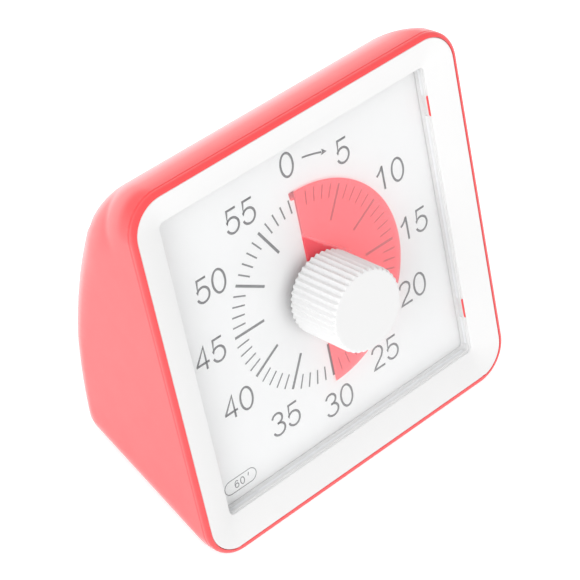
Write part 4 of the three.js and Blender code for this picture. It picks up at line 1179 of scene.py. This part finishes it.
knob_plastic = skin_material(
    "knob_plastic",
    (0.775, 0.775, 0.775),
    (0.765, 0.765, 0.765),
    (0.80, 0.80, 0.80),
    0.5,
    0.00001,
    painted_highlight=0.1,
)
KNOB_RADIUS = 15
KNOB_RIDGES = 40
RIDGE_DEPTH = 0.95
LENS_FRONT = -5.4
KNOB_BACK = LENS_FRONT + 0.5
KNOB_FRONT = 17
KNOB_FILLET = 1.2
KNOB_BORE = 2.5
KNOB_BORE_END = 9.3
KNOB_BOSS = 4.6
KNOB_HOLLOW = 12.6
KNOB_HOLLOW_END = 15.2
knob_profile = [
    (KNOB_BORE, KNOB_BORE_END),
    (KNOB_BORE, KNOB_BACK),
    (KNOB_BOSS, KNOB_BACK),
    (KNOB_BOSS, KNOB_HOLLOW_END),
    (KNOB_HOLLOW, KNOB_HOLLOW_END),
    (KNOB_HOLLOW, KNOB_BACK),
    (KNOB_RADIUS - 0.7, KNOB_BACK),
    (KNOB_RADIUS - 0.2, KNOB_BACK + 0.15),
    (KNOB_RADIUS, KNOB_BACK + 0.6),
]
for t in (0.25, 0.5, 0.75):
    knob_profile.append((KNOB_RADIUS, KNOB_BACK + (KNOB_FRONT - KNOB_FILLET - KNOB_BACK) * t))
for k in range(9):
    turn = math.pi / 2 * k / 8
    inward = KNOB_FILLET * (1 - math.cos(turn))
    knob_profile.append((KNOB_RADIUS - inward, KNOB_FRONT - KNOB_FILLET * (1 - math.sin(turn))))
knob_profile += [(KNOB_RADIUS - KNOB_FILLET - 0.5, KNOB_FRONT), (8, KNOB_FRONT)]
KNOB_STEPS = 480
knob_points = []
for radius, level in knob_profile:
    for k in range(KNOB_STEPS):
        angle = 2 * math.pi * k / KNOB_STEPS
        groove = (0.5 - 0.5 * math.cos(KNOB_RIDGES * angle)) ** 0.8
        reach = min(radius, KNOB_RADIUS - RIDGE_DEPTH * groove)
        knob_points.append((reach * math.cos(angle), reach * math.sin(angle), level))
knob_faces = ring_faces(len(knob_profile), KNOB_STEPS)
centre_back = len(knob_points)
knob_points += [(0, 0, KNOB_BORE_END), (0, 0, KNOB_FRONT)]
last_ring = (len(knob_profile) - 1) * KNOB_STEPS
for k in range(KNOB_STEPS):
    after = (k + 1) % KNOB_STEPS
    knob_faces.append((centre_back, after, k))
    knob_faces.append((centre_back + 1, last_ring + k, last_ring + after))
knob = mesh_object("knob", knob_points, knob_faces, face, 50)
finished(knob, "setting_knob", knob_plastic, "dial_drive", "knob")

# ---- Small fittings --------------------------------------
# What is behind the dial and on the back: case, gears, motor, screws, cell, switch and feet. They keep
# the shapes they are built with and get finishes of their own, moulded, rubber, lacquer or metal.

dark_plastic = skin_material(
    "dark_plastic", (0.035, 0.035, 0.038), (0.05, 0.05, 0.053), (0.12, 0.12, 0.12), 0.5, 0.00002
)
gear_plastic = skin_material(
    "gear_plastic", (0.78, 0.74, 0.62), (0.72, 0.68, 0.56), (0.85, 0.82, 0.72), 0.42, 0.00001
)
foot_rubber = skin_material(
    "foot_rubber", (0.05, 0.05, 0.052), (0.07, 0.07, 0.072), (0.12, 0.12, 0.12), 0.85, 0.00004, 1600.0
)
board_lacquer = skin_material(
    "board_lacquer", (0.03, 0.16, 0.07), (0.02, 0.12, 0.05), (0.2, 0.3, 0.2), 0.35, 0.00001
)
cell_sleeve = skin_material(
    "cell_sleeve", (0.06, 0.09, 0.13), (0.05, 0.075, 0.11), (0.3, 0.32, 0.34), 0.32, 0.000006
)
bright_steel = skin_material(
    "bright_steel",
    (0.62, 0.63, 0.64),
    (0.5, 0.51, 0.52),
    (0.8, 0.8, 0.8),
    0.26,
    0.000006,
    4000.0,
    spread=0.2,
)
coil_enamel = skin_material(
    "coil_enamel", (0.62, 0.25, 0.1), (0.5, 0.17, 0.06), (0.75, 0.4, 0.2), 0.3, 0.00002, 6000.0
)
for metal in (bright_steel, coil_enamel):
    shader_values(metal, {"Metallic": 1.0})
finishes = {
    "white_plastic": white_plastic,
    "dark_plastic": dark_plastic,
    "gear_plastic": gear_plastic,
    "rubber": foot_rubber,
    "board_green": board_lacquer,
    "cell_sleeve": cell_sleeve,
    "steel": bright_steel,
    "copper": coil_enamel,
}
for part in frame["record"]["subparts"]:
    if part["material_slot"] in finishes:
        coat(part["node"], finishes[part["material_slot"]])

# ---- Room ------------------------------------------------
# A white floor under soft, nearly even light, a little stronger from above and in front.

floor_mesh = bpy.data.meshes.new("floor")
floor_mesh.from_pydata([(-6, -6, 0), (6, -6, 0), (6, 6, 0), (-6, 6, 0)], [], [(0, 1, 2, 3)])
floor = in_scene("floor", floor_mesh)
floor_paint = new_material("floor_paint")[0]
floor_look = {
    "Base Color": (0.9, 0.9, 0.9, 1),
    "Roughness": 0.9,
    "Emission Color": (1, 1, 1, 1),
    "Emission Strength": 0.45,
}
shader_values(floor_paint, floor_look)
floor.data.materials.append(floor_paint)

world = bpy.data.worlds.new("room")
bpy.context.scene.world = world
world.use_nodes = True
sky = world.node_tree.nodes["Background"]
sky.inputs["Color"].default_value = (1, 1, 1, 1)
sky.inputs["Strength"].default_value = 0.9


def soft_light(name, at, towards, size, power):
    """A large square lamp aimed at a point, not mirrored in any gloss."""
    data = bpy.data.lights.new(name, "AREA")
    data.size = size
    data.energy = power
    made = in_scene(name, data)
    made.location = at
    made.visible_glossy = False
    made.rotation_mode = "QUATERNION"
    made.rotation_quaternion = (Vector(towards) - Vector(at)).to_track_quat("-Z", "Y")


middle = (0, 0, 0.06)
soft_light("window", (0.5, -0.9, 1.5), middle, 1.2, 0.5)
soft_light("left_fill", (-1.3, -0.2, 0.7), middle, 1.2, 10)
bpy.context.scene.view_settings.view_transform = "Standard"
# The clear lens and the film lie over each other, and light crosses both twice.
bpy.context.scene.cycles.transparent_max_bounces = 24
